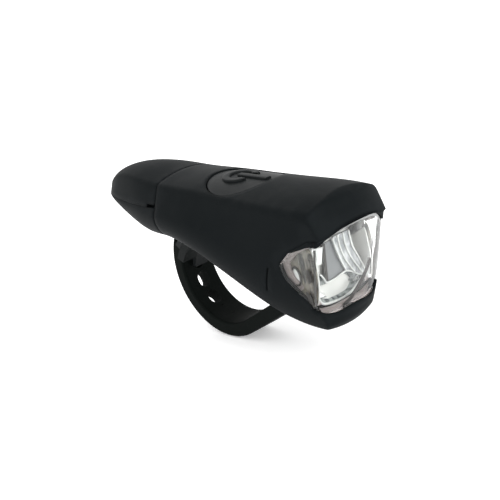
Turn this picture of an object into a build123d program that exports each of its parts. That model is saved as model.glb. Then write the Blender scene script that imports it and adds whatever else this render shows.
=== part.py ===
from build123d import *
import os
from math import cos, radians, sin, sqrt

# A rechargeable bicycle headlight that straps on a handlebar.
# The origin is on the handlebar's axis, +X is the way the beam points, +Y is left and +Z is up.
# All lengths are in millimetres.

os.makedirs("parts", exist_ok=True)

# Handlebar and strap loop
bar_radius = 12.7
pad_thickness = 2.6
pad_half_width = 8.0
pad_front_angle = 20.0
pad_rear_angle = 155.0
strap_inner_radius = 15.9
strap_thickness = 4.3
strap_width = 12.1
strap_softness = 0.8
slack_direction = 66.0
strap_end_angle = 154.0
strap_leave_angle = -60.7

# Outer form of the light, from the parting seam forwards and backwards
seam_x = -12.4
nose_length = 72.0
pod_length = 36.2
half_width = 15.5
crown_height = 32.4
wall = 1.8
seam_gap = 0.3

# Front of the light, turned about an upright axis behind the lens
front_axis_x = 24.0
lens_top_height = 22.5
lens_top_reach = 30.3
lens_bottom_height = -1.0
lens_bottom_reach = 24.8
brow_top_height = 29.3
brow_top_reach = 27.6
brow_back_height = 31.2
brow_back_reach = 24.6
brow_tip_height = 20.8
brow_tip_reach = 31.1
chin_height = -5.2
chin_reach = 24.2
lens_wall = 2.2
lens_gap = 0.1
lens_half_width = 13.1
lens_corner_height = 20.0
lens_corner_x = 44.5
lens_foot_height = 1.2
lens_foot_draw = 0.9
lens_dip = 0.4
lens_dip_share = 0.65
rim_rise = 0.5
chin_depth = 4.0
chin_softness = 3.5
brow_softness = 2.0
front_margin = 4.0

# Side windows of the lens
window_rear_x = 38.0
window_rear_height = 11.6
window_rear_radius = 3.6
window_rise = 5.3
window_corner_x = 48.6
lens_crown_x = 48.7
window_foot_run = 1.3

# Power button
button_x = 14.1
recess_radius = 11.3
button_gap = 0.4
button_sink = 0.35
button_thickness = 1.1
button_travel = 0.5
button_floor = 1.2
symbol_x = 12.3
symbol_radius = 5.2
symbol_opening_depth = 2.6
symbol_opening_half = 2.4
symbol_bar_start = -0.4
stem_lap = -0.2
symbol_stroke = 1.7
symbol_rise = 0.55
symbol_bar_length = 11.6
stem_radius = 2.2

# Bar cradle and strap anchor
cradle_thickness = 2.0
cradle_rear_angle = 141.0
tongue_half_width = 2.4
tongue_radius = 13.1
tongue_thickness = 1.4
tongue_start_angle = 133.5
tongue_end_angle = 172.0
pad_slot_angle = 132.5
peg_radius = 1.6
peg_head_radius = 2.2
peg_head_length = 1.0
hole_radius = 2.0
hole_length = 5.0
hole_first_angle = 179.5
hole_pitch_angle = 22.7
hole_count = 4
anchor_run = 23.2
anchor_pin_radius = 1.2
anchor_eye_radius = 2.6
anchor_boss_wall = 1.8
saddle_floor = 2.0
cradle_screw_share = 0.625

# Rear spigot, cap and charging plug
spigot_length = 5.0
spigot_wall = 1.0
bulkhead_thickness = 1.6
cap_wall = 1.6
cap_gap = 0.3
collar_taper = 1.0
cap_parting_share = 0.744
seal_depth = 0.4
seal_width = 1.4
seal_lead = 1.2
notch_height = 1.0
notch_length = 4.0
notch_depth = 0.9
usb_width = 12.0
usb_height = 4.5
usb_skin = 0.3
usb_tongue_thickness = 1.9
usb_tongue_inset = 0.4
usb_crown_share = 0.97
usb_drop = 4.25
usb_tip_x = -33.75
usb_root_x = -10.7
usb_contact_width = 1.1
usb_contact_length = 7.2
usb_contact_thickness = 0.2
usb_contact_pitch = 2.4
usb_contact_count = 4

# Electronics
well_crown_share = 0.985
cell_share = 0.464
board_share = 0.11
board_gap_share = 0.077
tray_share = 0.077
switch_gap = 0.35
board_half_width = 8.6
board_rear_x = -10.4
board_front_x = 26.3
cell_rear_x = -6.0
cell_front_x = 22.0
cell_half_width = 7.5
cell_softness = 1.2
post_radius = 1.7
post_setback = 2.3
switch_half_size = 3.0
plunger_radius = 1.6
plunger_rise = 0.9
plunger_depth = 0.7
screw_radius = 0.9
screw_head_radius = 1.5
screw_head_height = 1.1
screw_length = 3.0
board_screw_share = 0.5
cross_width = 0.5
cross_depth = 0.5

# Optics and cooling
led_half_size = 1.75
led_thickness = 0.7
led_dome_radius = 1.4
led_board_radius = 6.7
led_board_thickness = 1.6
led_board_x = 33.2
led_screw_offset = 4.8
reflector_back_x = 36.2
reflector_plate = 0.8
reflector_hole = 2.9
reflector_back_half = 6.9
reflector_half_width = 11.4
reflector_half_height = 9.9
reflector_softness = 2.4
reflector_focus = 2.6
reflector_vertex_x = 33.6
reflector_front_x = 50.0
reflector_gap = 1.2
sink_plate = 1.9
sink_fin = 1.2
sink_fin_depth = 7.0
sink_fin_count = 5
sink_half_width = 9.4
sink_half_height = 6.7
gasket_thickness = 0.8
gasket_width = 1.1
gasket_gap = 0.1
slit_width = 0.6
slit_depth = 0.7
slit_top_x = 33.7
slit_top_height = 12.3
slit_foot_x = 31.3
slit_foot_height = 5.4

# Shared clearances
fit_gap = 0.1
seat_gap = 0.3
overrun = 2.0

bar_rest_radius = bar_radius + pad_thickness
cradle_radius = bar_rest_radius + cradle_thickness
pocket_radius = cradle_radius + fit_gap
saddle_radius = pocket_radius + saddle_floor
cradle_screw_y = cradle_screw_share * pad_half_width
cap_parting_height = cap_parting_share * crown_height
usb_centre_height = usb_crown_share * crown_height - usb_drop - usb_height / 2
led_height = (lens_top_height + lens_bottom_height) / 2

# The battery, the board and the switch share the room between the saddle and the button's well
well_depth = button_sink + button_thickness + button_travel + seat_gap
well_floor_height = well_crown_share * crown_height - well_depth - button_floor
stack_room = well_floor_height - saddle_radius
tray_height = saddle_radius + fit_gap
tray_wall = tray_share * stack_room
cell_height = tray_height + tray_wall + fit_gap
cell_thickness = cell_share * stack_room
board_height = cell_height + cell_thickness + board_gap_share * stack_room
board_thickness = board_share * stack_room
switch_foot = board_height + board_thickness
switch_height = well_floor_height - switch_foot - switch_gap
loop_slack = strap_inner_radius - bar_radius
loop_x = loop_slack * cos(radians(slack_direction))
loop_z = loop_slack * sin(radians(slack_direction))

# Stations of the outer form. Each row holds the place along the nose or the pod, then the heights
# as shares of the crown height and the half widths as shares of the greatest half width:
# crown, crease width, crease height, side width, side height, corner width, corner height, floor.
# The last number is the side's bulge as a share of its chord.
seam_shares = (0.0, 1.0, 0.703, 0.944, 0.929, 0.679, 0.619, 0.438, 0.395, 0.17)
nose_shares = [
    (0.186, 0.994, 0.735, 0.926, 0.968, 0.657, 0.710, 0.340, 0.296, 0.17),
    (0.394, 0.985, 0.787, 0.895, 0.987, 0.540, 0.710, 0.123, 0.074, 0.15),
    (0.603, 0.969, 0.858, 0.867, 1.000, 0.417, 0.677, -0.090, -0.142, 0.11),
    (0.756, 0.957, 0.903, 0.852, 0.945, 0.350, 0.565, -0.192, -0.216, 0.07),
    (0.867, 0.944, 0.897, 0.827, 0.832, 0.270, 0.560, -0.185, -0.222, 0.05),
    (1.0, 0.929, 0.858, 0.796, 0.735, 0.210, 0.500, -0.185, -0.225, 0.05),
]
pod_shares = [
    (0.985, 0.821, 0.155, 0.802, 0.206, 0.735, 0.116, 0.698, 0.688, 0.17),
    (0.870, 0.932, 0.284, 0.878, 0.400, 0.738, 0.219, 0.657, 0.642, 0.17),
    (0.715, 1.002, 0.413, 0.944, 0.555, 0.738, 0.310, 0.596, 0.574, 0.17),
    (0.482, 1.043, 0.555, 0.982, 0.710, 0.728, 0.400, 0.492, 0.469, 0.17),
    (0.249, 1.030, 0.658, 0.970, 0.839, 0.710, 0.516, 0.436, 0.408, 0.17),
]
crease_softness_share = 0.17


def station_rows():
    """Every station of the form from the tail to the nose, as places and sizes in millimetres."""
    rows = []
    for shares in pod_shares:
        rows.append((seam_x - shares[0] * pod_length, shares[1:]))
    rows.append((seam_x, seam_shares[1:]))
    for shares in nose_shares:
        rows.append((seam_x + shares[0] * nose_length, shares[1:]))
    return rows


def outline(place, shares, inset):
    """Closed cross-section of the form at one place from its shares, drawn in by the inset."""
    crown = shares[0] * crown_height - inset
    crease = (shares[1] * half_width - inset, shares[2] * crown_height - inset)
    side = (shares[3] * half_width - inset, shares[4] * crown_height)
    corner = (shares[5] * half_width - inset / 2, shares[6] * crown_height + inset)
    floor = shares[7] * crown_height + inset
    bulge_share = shares[8]
    chord = (side[0] - corner[0], side[1] - corner[1])
    bulge = (
        (side[0] + corner[0]) / 2 + bulge_share * chord[1],
        (side[1] + corner[1]) / 2 - bulge_share * chord[0],
    )
    with BuildSketch(Plane.YZ.offset(place)) as section:
        with BuildLine():
            ThreePointArc((-crease[0], crease[1]), (0, crown), crease)
            Line(crease, side)
            ThreePointArc(side, bulge, corner)
            ThreePointArc(corner, (0, floor), (-corner[0], corner[1]))
            ThreePointArc((-corner[0], corner[1]), (-bulge[0], bulge[1]), (-side[0], side[1]))
            Line((-side[0], side[1]), (-crease[0], crease[1]))
        make_face()
        fillet(section.vertices().group_by(Axis.Y)[-1], crease_softness_share * crease[0])
    return section.sketch


def outer_form(inset):
    """The light's whole outer form as one solid, drawn in by the inset."""
    sections = []
    for place, shares in station_rows():
        if (shares[0] - shares[7]) * crown_height > 4 * inset:
            sections.append(outline(place, shares, inset))
    with BuildPart() as form:
        loft(sections=sections)
    return form.part


def turned_front(points, inset):
    """Solid turned about the front's upright axis from (reach, height, softness) points, low end first."""
    rim = [(front_axis_x + reach - inset, height) for reach, height, softness in points]
    with BuildPart() as form:
        with BuildSketch(Plane.XZ) as profile:
            with BuildLine():
                Polyline((front_axis_x, rim[0][1]), *rim, (front_axis_x, rim[-1][1]), close=True)
            make_face()
            for reach, height, softness in points:
                if softness > inset:
                    corner = profile.vertices().sort_by_distance((front_axis_x + reach - inset, height))
                    fillet(corner[0], softness - inset)
        revolve(axis=Axis((front_axis_x, 0, 0), (0, 0, 1)))
        with BuildSketch(Plane.YZ.offset(front_axis_x)):
            with Locations((0, (rim[0][1] + rim[-1][1]) / 2)):
                Rectangle(4 * half_width, rim[-1][1] - rim[0][1])
        extrude(amount=-(nose_length + pod_length))
    return form.part


def lens_reach(height):
    """Reach of the lens's outer face from the upright axis at one height."""
    rake = (lens_top_reach - lens_bottom_reach) / (lens_top_height - lens_bottom_height)
    return lens_bottom_reach + rake * (height - lens_bottom_height)


def housing_front(inset):
    """Front of the housing: chin, lens surround and slanted brow."""
    return turned_front([
        (chin_reach - chin_depth, chin_height - chin_depth, 0),
        (chin_reach, chin_height, chin_softness),
        (lens_bottom_reach + rim_rise, lens_bottom_height, 0),
        (lens_reach(lens_corner_height) + rim_rise, lens_corner_height, 0),
        (brow_tip_reach, brow_tip_height, 0),
        (brow_top_reach, brow_top_height - inset, brow_softness),
        (brow_back_reach, brow_back_height - inset, 0),
        (brow_back_reach - front_margin, crown_height + front_margin, 0),
    ], inset)


def lens_front(inset):
    """Front of the lens, drawn in by the inset."""
    low = chin_height - front_margin
    high = crown_height + front_margin
    return turned_front([(lens_reach(low), low, 0), (lens_reach(high), high, 0)], inset)


def lens_space(growth):
    """Space that the lens shows through, front and sides, grown all round."""
    foot_width = lens_half_width - lens_foot_draw + growth
    with BuildPart() as space:
        with BuildSketch(Plane.XZ) as window:
            with BuildLine():
                Polyline(
                    (lens_corner_x + half_width, lens_corner_height),
                    (window_corner_x, lens_corner_height),
                    (window_rear_x + window_rear_radius, window_rear_height + window_rise),
                    (window_rear_x, window_rear_height + window_rear_radius / 2),
                    (window_rear_x + window_rear_radius / 3, window_rear_height - window_rear_radius / 2),
                    (lens_corner_x + window_foot_run, lens_foot_height),
                    (lens_corner_x + half_width, lens_foot_height),
                    close=True,
                )
            make_face()
            rear = window.vertices().filter_by(lambda v: v.X < lens_corner_x)
            fillet(rear, window_rear_radius / 2)
            offset(amount=growth)
        extrude(amount=2 * half_width, both=True)
        with BuildSketch(Plane.YZ.offset(lens_crown_x)):
            with BuildLine():
                ThreePointArc((-lens_half_width - growth, lens_corner_height),
                              (0, lens_top_height + growth), (lens_half_width + growth, lens_corner_height))
                Line((lens_half_width + growth, lens_corner_height), (lens_half_width + growth, led_height))
                Line((lens_half_width + growth, led_height), (-lens_half_width - growth, led_height))
                Line((-lens_half_width - growth, led_height), (-lens_half_width - growth, lens_corner_height))
            make_face()
        extrude(amount=half_width)
        with BuildSketch(Plane.YZ.offset(lens_corner_x)):
            with BuildLine():
                Spline((foot_width, lens_foot_height),
                       (foot_width * lens_dip_share, lens_bottom_height - lens_dip - growth),
                       (0, lens_bottom_height - growth),
                       (-foot_width * lens_dip_share, lens_bottom_height - lens_dip - growth),
                       (-foot_width, lens_foot_height))
                Line((-foot_width, lens_foot_height), (-foot_width, led_height))
                Line((-foot_width, led_height), (foot_width, led_height))
                Line((foot_width, led_height), (foot_width, lens_foot_height))
            make_face()
        extrude(amount=half_width)
    return space.part


def ring_sector(inner, outer, start, end, half_span):
    """Part of a ring round the handlebar, between two radii and two angles, across the width."""
    with BuildPart() as sector:
        with BuildSketch(Plane.XZ):
            with BuildLine():
                first_arc = CenterArc((0, 0), inner, start, end - start)
                second_arc = CenterArc((0, 0), outer, start, end - start)
                Line(first_arc @ 0, second_arc @ 0)
                Line(first_arc @ 1, second_arc @ 1)
            make_face()
        extrude(amount=half_span, both=True)
    return sector.part


def bar_cylinder(radius, half_span):
    """Solid round the handlebar's axis."""
    with BuildPart() as cylinder:
        Cylinder(radius, 2 * half_span, rotation=(90, 0, 0))
    return cylinder.part


def block(rear, front, half_span, low, high):
    """Box between two places along the light and two heights, centred across the width."""
    with BuildPart() as box:
        with Locations(((rear + front) / 2, 0, (low + high) / 2)):
            Box(front - rear, 2 * half_span, high - low)
    return box.part


def screw(foot, direction, length):
    """Cross-head screw whose head's underside is at the foot point, with the head along the direction."""
    with BuildPart() as body:
        with BuildSketch(Plane(origin=foot, z_dir=direction)):
            Circle(screw_head_radius)
        extrude(amount=screw_head_height)
        with BuildSketch(Plane(origin=foot, z_dir=direction)):
            Circle(screw_radius)
        extrude(amount=-length)
        with BuildSketch(Plane(origin=foot, z_dir=direction).offset(screw_head_height)):
            Rectangle(2 * screw_radius, cross_width)
            Rectangle(cross_width, 2 * screw_radius)
        extrude(amount=-cross_depth, mode=Mode.SUBTRACT)
    return body.part


def upright(place_x, place_y, radius, low, high):
    """Upright cylinder between two heights."""
    with BuildPart() as cylinder:
        with BuildSketch(Plane.XY.offset(low)):
            with Locations((place_x, place_y)):
                Circle(radius)
        extrude(amount=high - low)
    return cylinder.part


def lengthwise(place_z, radius, rear, front):
    """Cylinder along the beam's direction between two places."""
    with BuildPart() as cylinder:
        with BuildSketch(Plane.YZ.offset(rear)):
            with Locations((0, place_z)):
                Circle(radius)
        extrude(amount=front - rear)
    return cylinder.part


def crosswise(place_x, place_z, radius, half_span):
    """Cylinder across the light."""
    with BuildPart() as cylinder:
        with Locations((place_x, 0, place_z)):
            Cylinder(radius, 2 * half_span, rotation=(90, 0, 0))
    return cylinder.part


# Strap loop: an arc round the bar, then a straight run up to the anchor pin
strap_mid_radius = strap_inner_radius + strap_thickness / 2
strap_outer_radius = strap_inner_radius + strap_thickness
leave_x = loop_x + strap_mid_radius * cos(radians(strap_leave_angle))
leave_z = loop_z + strap_mid_radius * sin(radians(strap_leave_angle))
run_direction = (-sin(radians(strap_leave_angle)), cos(radians(strap_leave_angle)))
anchor_x = leave_x + anchor_run * run_direction[0]
anchor_z = leave_z + anchor_run * run_direction[1]
strap_arc_angle = 360 + strap_leave_angle - strap_end_angle
strap_half_width = strap_width / 2


def loop_point(radius, angle):
    """Point of the strap loop's side view at a radius and an angle in degrees."""
    return (loop_x + radius * cos(radians(angle)), loop_z + radius * sin(radians(angle)))


def strap_outline(growth):
    """Side view of the strap, grown all round."""
    inner = strap_inner_radius - growth
    outer = strap_outer_radius + growth
    middle_angle = strap_end_angle + strap_arc_angle / 2
    finish_angle = strap_end_angle + strap_arc_angle
    reach = (anchor_run * run_direction[0], anchor_run * run_direction[1])
    inner_leave = loop_point(inner, finish_angle)
    outer_leave = loop_point(outer, finish_angle)
    inner_end = (inner_leave[0] + reach[0], inner_leave[1] + reach[1])
    outer_end = (outer_leave[0] + reach[0], outer_leave[1] + reach[1])
    with BuildSketch(Plane.XZ) as band:
        with BuildLine():
            ThreePointArc(loop_point(inner, strap_end_angle), loop_point(inner, middle_angle), inner_leave)
            Line(inner_leave, inner_end)
            Line(inner_end, outer_end)
            Line(outer_end, outer_leave)
            ThreePointArc(outer_leave, loop_point(outer, middle_angle), loop_point(outer, strap_end_angle))
            Line(loop_point(outer, strap_end_angle), loop_point(inner, strap_end_angle))
        make_face()
        with Locations((anchor_x, anchor_z)):
            Circle(anchor_eye_radius + growth)
    return band.sketch


def strap_solid(growth, softness):
    """The strap without its holes, grown all round, with its long edges softened."""
    with BuildPart() as band:
        extrude(strap_outline(growth), amount=strap_half_width + growth, both=True)
        if softness > 0:
            fillet(band.edges().group_by(Axis.Y)[0] + band.edges().group_by(Axis.Y)[-1], softness)
    return band.part


def strap_hole_planes():
    """Planes of the strap's holes, each facing out of the loop."""
    planes = []
    for index in range(hole_count):
        angle = hole_first_angle + index * hole_pitch_angle
        outward = (cos(radians(angle)), 0, sin(radians(angle)))
        centre = loop_point(strap_mid_radius, angle)
        planes.append(Plane(origin=(centre[0], 0, centre[1]), x_dir=(0, 1, 0), z_dir=outward))
    return planes


skin = outer_form(0)
inner_skin = outer_form(wall)
boss_reach = anchor_eye_radius + seat_gap + anchor_boss_wall
boss_half_span = strap_half_width + seat_gap + anchor_boss_wall

# Main housing: a shell with the lens opening, the button well, the saddle and the strap pocket
button_column = upright(button_x, 0, recess_radius + wall, board_height, crown_height + overrun)
recess_column = upright(button_x, 0, recess_radius, board_height, crown_height + overrun)
stem_column = upright(button_x, 0, stem_radius + seat_gap, board_height, crown_height + overrun)
anchor_block = block(anchor_x - boss_reach, anchor_x + boss_reach, boss_half_span,
                     chin_height - chin_depth, anchor_z + boss_reach)
strap_pocket = strap_solid(seat_gap, 0)
with BuildPart() as well_mass:
    add(button_column)
    add(Pos(0, 0, -(well_depth + button_floor)) * skin, mode=Mode.SUBTRACT)
with BuildPart() as cavity:
    add(inner_skin)
    add(housing_front(wall), mode=Mode.INTERSECT)
    add(bar_cylinder(saddle_radius, 2 * half_width), mode=Mode.SUBTRACT)
    add(anchor_block, mode=Mode.SUBTRACT)
    add(well_mass.part, mode=Mode.SUBTRACT)
with BuildPart() as recess:
    add(recess_column)
    add(Pos(0, 0, -well_depth) * skin, mode=Mode.SUBTRACT)
with BuildPart() as slits:
    with BuildSketch(Plane.XZ):
        with BuildLine():
            Polyline(
                (slit_foot_x, slit_foot_height),
                (slit_foot_x + slit_width, slit_foot_height),
                (slit_top_x + slit_width, slit_top_height),
                (slit_top_x, slit_top_height),
                close=True,
            )
        make_face()
    extrude(amount=2 * half_width, both=True)
    add(outer_form(slit_depth), mode=Mode.SUBTRACT)
with BuildPart() as main_housing:
    add(skin)
    split(bisect_by=Plane.YZ.offset(seam_x), keep=Keep.TOP)
    add(housing_front(0), mode=Mode.INTERSECT)
    add(cavity.part, mode=Mode.SUBTRACT)
    add(lens_space(lens_gap), mode=Mode.SUBTRACT)
    add(recess.part, mode=Mode.SUBTRACT)
    add(stem_column, mode=Mode.SUBTRACT)
    add(slits.part, mode=Mode.SUBTRACT)
    add(bar_cylinder(bar_radius + seat_gap, 2 * half_width), mode=Mode.SUBTRACT)
    add(bar_cylinder(pocket_radius, pad_half_width + fit_gap), mode=Mode.SUBTRACT)
    add(strap_pocket, mode=Mode.SUBTRACT)
    add(crosswise(anchor_x, anchor_z, anchor_pin_radius + fit_gap, boss_half_span - anchor_boss_wall / 2),
        mode=Mode.SUBTRACT)
    for side in (-1, 1):
        add(upright(0, side * cradle_screw_y, screw_radius + fit_gap, bar_radius, saddle_radius),
            mode=Mode.SUBTRACT)
main_housing.part.label = "main_housing"
export_step(main_housing.part, "parts/main_housing.step")

# Power button with its raised symbol, the switch under it and the switch's plunger
plunger_top = well_floor_height - switch_gap + plunger_rise
with BuildPart() as symbol:
    with BuildSketch(Plane.XY.offset(board_height)):
        with Locations((symbol_x, 0)):
            Circle(symbol_radius)
            Circle(symbol_radius - symbol_stroke, mode=Mode.SUBTRACT)
        with Locations((symbol_x + symbol_radius, 0)):
            Rectangle(2 * symbol_opening_depth, 2 * symbol_opening_half, mode=Mode.SUBTRACT)
        with Locations((symbol_x + symbol_bar_start + symbol_bar_length / 2, 0)):
            Rectangle(symbol_bar_length, symbol_stroke)
    extrude(amount=crown_height)
    add(Pos(0, 0, symbol_rise - button_sink) * skin, mode=Mode.INTERSECT)
    add(Pos(0, 0, -button_sink - button_thickness / 2) * skin, mode=Mode.SUBTRACT)
with BuildPart() as power_button:
    add(upright(button_x, 0, recess_radius - button_gap, board_height, crown_height + overrun))
    add(Pos(0, 0, -button_sink) * skin, mode=Mode.INTERSECT)
    add(Pos(0, 0, -button_sink - button_thickness) * skin, mode=Mode.SUBTRACT)
    add(symbol.part)
    add(upright(button_x, 0, stem_radius, plunger_top,
                crown_height - button_sink - button_thickness - stem_lap))
power_button.part.label = "power_button"
export_step(power_button.part, "parts/power_button.step")

with BuildPart() as switch_plunger:
    add(upright(button_x, 0, plunger_radius, plunger_top - plunger_rise - plunger_depth, plunger_top))
switch_plunger.part.label = "switch_plunger"
export_step(switch_plunger.part, "parts/switch_plunger.step")

with BuildPart() as tact_switch:
    with Locations((button_x, 0, switch_foot + switch_height / 2)):
        Box(2 * switch_half_size, 2 * switch_half_size, switch_height)
    add(upright(button_x, 0, plunger_radius + fit_gap, switch_foot + fit_gap, switch_foot + switch_height),
        mode=Mode.SUBTRACT)
tact_switch.part.label = "tact_switch"
export_step(tact_switch.part, "parts/tact_switch.step")

# Circuit board, battery cell and the tray that carries both
post_places = (cell_rear_x - post_setback, cell_front_x + post_setback)
with BuildPart() as main_board:
    with BuildSketch(Plane.XY.offset(board_height)):
        with Locations(((board_rear_x + board_front_x) / 2, 0)):
            RectangleRounded(board_front_x - board_rear_x, 2 * board_half_width, cell_softness)
        for place in post_places:
            with Locations((place, 0)):
                Circle(screw_radius + fit_gap, mode=Mode.SUBTRACT)
    extrude(amount=board_thickness)
main_board.part.label = "main_board"
export_step(main_board.part, "parts/main_board.step")

with BuildPart() as battery_cell:
    with BuildSketch(Plane.XY.offset(cell_height)):
        with Locations(((cell_rear_x + cell_front_x) / 2, 0)):
            RectangleRounded(cell_front_x - cell_rear_x, 2 * cell_half_width, cell_softness)
    extrude(amount=cell_thickness)
    fillet(battery_cell.faces().sort_by(Axis.Z)[-1].edges(), cell_softness / 2)
battery_cell.part.label = "battery_cell"
export_step(battery_cell.part, "parts/battery_cell.step")

board_screw_length = board_screw_share * (board_height - tray_height)
tray_rear = cell_rear_x - post_setback - post_radius
tray_front = cell_front_x + post_setback + post_radius
with BuildPart() as battery_tray:
    add(block(tray_rear, tray_front, cell_half_width + fit_gap + tray_wall, tray_height,
              cell_height + cell_thickness / 2))
    add(block(cell_rear_x - fit_gap, cell_front_x + fit_gap, cell_half_width + fit_gap,
              tray_height + tray_wall, cell_height + cell_thickness), mode=Mode.SUBTRACT)
    for place in post_places:
        add(upright(place, 0, post_radius, tray_height, board_height))
        add(upright(place, 0, screw_radius + fit_gap / 2, board_height - board_screw_length, board_height),
            mode=Mode.SUBTRACT)
battery_tray.part.label = "battery_tray"
export_step(battery_tray.part, "parts/battery_tray.step")

with BuildPart() as board_screws:
    for place in post_places:
        add(screw((place, 0, switch_foot), (0, 0, 1), board_screw_length))
board_screws.part.label = "board_screws"
export_step(board_screws.part, "parts/board_screws.step")

# Lens, its gasket and the parts behind it
lens_back = outer_form(lens_wall)
with BuildPart() as lens_hollow:
    add(lens_back)
    add(lens_front(lens_wall), mode=Mode.INTERSECT)
with BuildPart() as lens:
    add(skin)
    add(lens_front(0), mode=Mode.INTERSECT)
    add(lens_space(0), mode=Mode.INTERSECT)
    add(lens_hollow.part, mode=Mode.SUBTRACT)
lens.part.label = "lens"
export_step(lens.part, "parts/lens.step")

gasket_outer = lens_wall + gasket_gap
gasket_inner = gasket_outer + gasket_thickness
with BuildPart() as gasket_hollow:
    add(outer_form(gasket_inner))
    add(lens_front(gasket_inner), mode=Mode.INTERSECT)
with BuildPart() as lens_gasket:
    add(outer_form(gasket_outer))
    add(lens_front(gasket_outer), mode=Mode.INTERSECT)
    add(housing_front(wall + gasket_gap), mode=Mode.INTERSECT)
    add(lens_space(gasket_width), mode=Mode.INTERSECT)
    add(lens_space(-gasket_width), mode=Mode.SUBTRACT)
    add(gasket_hollow.part, mode=Mode.SUBTRACT)
lens_gasket.part.label = "lens_gasket"
export_step(lens_gasket.part, "parts/lens_gasket.step")

reflector_inset = gasket_inner + fit_gap
with BuildPart() as bowl:
    bowl_rear = reflector_back_x + reflector_plate
    bowl_length = reflector_front_x - reflector_vertex_x
    mouth_radius = 2 * sqrt(reflector_focus * bowl_length)
    with BuildSketch(Plane.XZ):
        with BuildLine():
            Bezier((reflector_vertex_x, led_height), (reflector_vertex_x, led_height + mouth_radius / 2),
                   (reflector_front_x, led_height + mouth_radius))
            Line((reflector_front_x, led_height + mouth_radius), (reflector_front_x, led_height))
            Line((reflector_front_x, led_height), (reflector_vertex_x, led_height))
        make_face()
    revolve(axis=Axis((0, 0, led_height), (1, 0, 0)))
    split(bisect_by=Plane.YZ.offset(bowl_rear), keep=Keep.TOP)
with BuildPart() as reflector:
    with BuildSketch(Plane.YZ.offset(reflector_back_x)):
        with Locations((0, led_height)):
            RectangleRounded(2 * reflector_back_half, 2 * reflector_back_half, reflector_softness)
    with BuildSketch(Plane.YZ.offset(reflector_front_x)):
        with Locations((0, led_height)):
            RectangleRounded(2 * reflector_half_width, 2 * reflector_half_height, reflector_softness)
    loft()
    add(outer_form(reflector_inset), mode=Mode.INTERSECT)
    add(lens_front(reflector_inset + reflector_gap), mode=Mode.INTERSECT)
    add(bowl.part, mode=Mode.SUBTRACT)
    add(lengthwise(led_height, reflector_hole, reflector_back_x - overrun, bowl_rear + overrun),
        mode=Mode.SUBTRACT)
reflector.part.label = "reflector"
export_step(reflector.part, "parts/reflector.step")

led_foot = led_board_x + led_board_thickness
with BuildPart() as dome:
    with Locations((led_foot + led_thickness, 0, led_height)):
        Sphere(led_dome_radius)
    split(bisect_by=Plane.YZ.offset(led_foot + led_thickness / 2), keep=Keep.TOP)
with BuildPart() as led_emitter:
    with Locations((led_foot + led_thickness / 2, 0, led_height)):
        Box(led_thickness, 2 * led_half_size, 2 * led_half_size)
    add(dome.part)
led_emitter.part.label = "led_emitter"
export_step(led_emitter.part, "parts/led_emitter.step")

with BuildPart() as led_board:
    add(lengthwise(led_height, led_board_radius, led_board_x, led_foot))
    with Locations(*[(led_board_x, side * led_screw_offset, led_height) for side in (-1, 1)]):
        Cylinder(screw_radius + fit_gap, 2 * led_board_thickness + overrun, rotation=(0, 90, 0),
                 mode=Mode.SUBTRACT)
led_board.part.label = "led_board"
export_step(led_board.part, "parts/led_board.step")

sink_front = led_board_x - fit_gap
sink_back = sink_front - sink_plate
fin_pitch = (2 * sink_half_width - sink_fin) / (sink_fin_count - 1)
with BuildPart() as heat_sink:
    add(block(sink_back, sink_front, sink_half_width, led_height - sink_half_height,
              led_height + sink_half_height))
    for index in range(sink_fin_count):
        with Locations((sink_back - sink_fin_depth / 2, index * fin_pitch - sink_half_width + sink_fin / 2,
                        led_height)):
            Box(sink_fin_depth, sink_fin, 2 * sink_half_height)
    with Locations(*[(sink_front, side * led_screw_offset, led_height) for side in (-1, 1)]):
        Cylinder(screw_radius + fit_gap, 2 * sink_plate, rotation=(0, 90, 0), mode=Mode.SUBTRACT)
heat_sink.part.label = "heat_sink"
export_step(heat_sink.part, "parts/heat_sink.step")

with BuildPart() as led_screws:
    for side in (-1, 1):
        add(screw((led_foot, side * led_screw_offset, led_height), (1, 0, 0), screw_length))
led_screws.part.label = "led_screws"
export_step(led_screws.part, "parts/led_screws.step")

# Rear spigot that the cap slides over, with its seal
collar_inset = cap_wall + cap_gap + collar_taper
seal_inset = cap_wall + 2 * cap_gap
collar_rear = seam_x - spigot_length
seal_front = seam_x - seam_gap - seal_lead
seal_rear = seal_front - seal_width


def seam_prism(inset, rear, front):
    """Straight prism of the seam's outline, drawn in by the inset, between two places."""
    with BuildPart() as prism:
        extrude(Pos(rear - seam_x, 0, 0) * outline(seam_x, seam_shares[1:], inset), amount=front - rear)
    return prism.part


with BuildPart() as seal_groove:
    add(block(seal_rear, seal_front, half_width, 0, crown_height + overrun))
    add(seam_prism(collar_inset + seal_depth, seal_rear - overrun, seal_front + overrun), mode=Mode.SUBTRACT)
with BuildPart() as rear_spigot:
    add(seam_prism(wall + fit_gap, seam_x, seam_x + bulkhead_thickness))
    add(seam_prism(collar_inset, collar_rear, seam_x + bulkhead_thickness / 2))
    add(seam_prism(collar_inset + spigot_wall, collar_rear - overrun, seam_x), mode=Mode.SUBTRACT)
    add(bar_cylinder(saddle_radius + fit_gap, 2 * half_width), mode=Mode.SUBTRACT)
    add(seal_groove.part, mode=Mode.SUBTRACT)
    add(block(seam_x - overrun, seam_x + bulkhead_thickness + overrun, usb_width / 2 + fit_gap,
              usb_centre_height - usb_height / 2 - fit_gap, usb_centre_height + usb_height / 2 + fit_gap),
        mode=Mode.SUBTRACT)
rear_spigot.part.label = "rear_spigot"
export_step(rear_spigot.part, "parts/rear_spigot.step")

with BuildPart() as cap_seal:
    add(seam_prism(seal_inset, seal_rear + fit_gap / 2, seal_front - fit_gap / 2))
    add(seam_prism(collar_inset + seal_depth - fit_gap / 2, seal_rear - overrun, seal_front + overrun),
        mode=Mode.SUBTRACT)
cap_seal.part.label = "cap_seal"
export_step(cap_seal.part, "parts/cap_seal.step")

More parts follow.
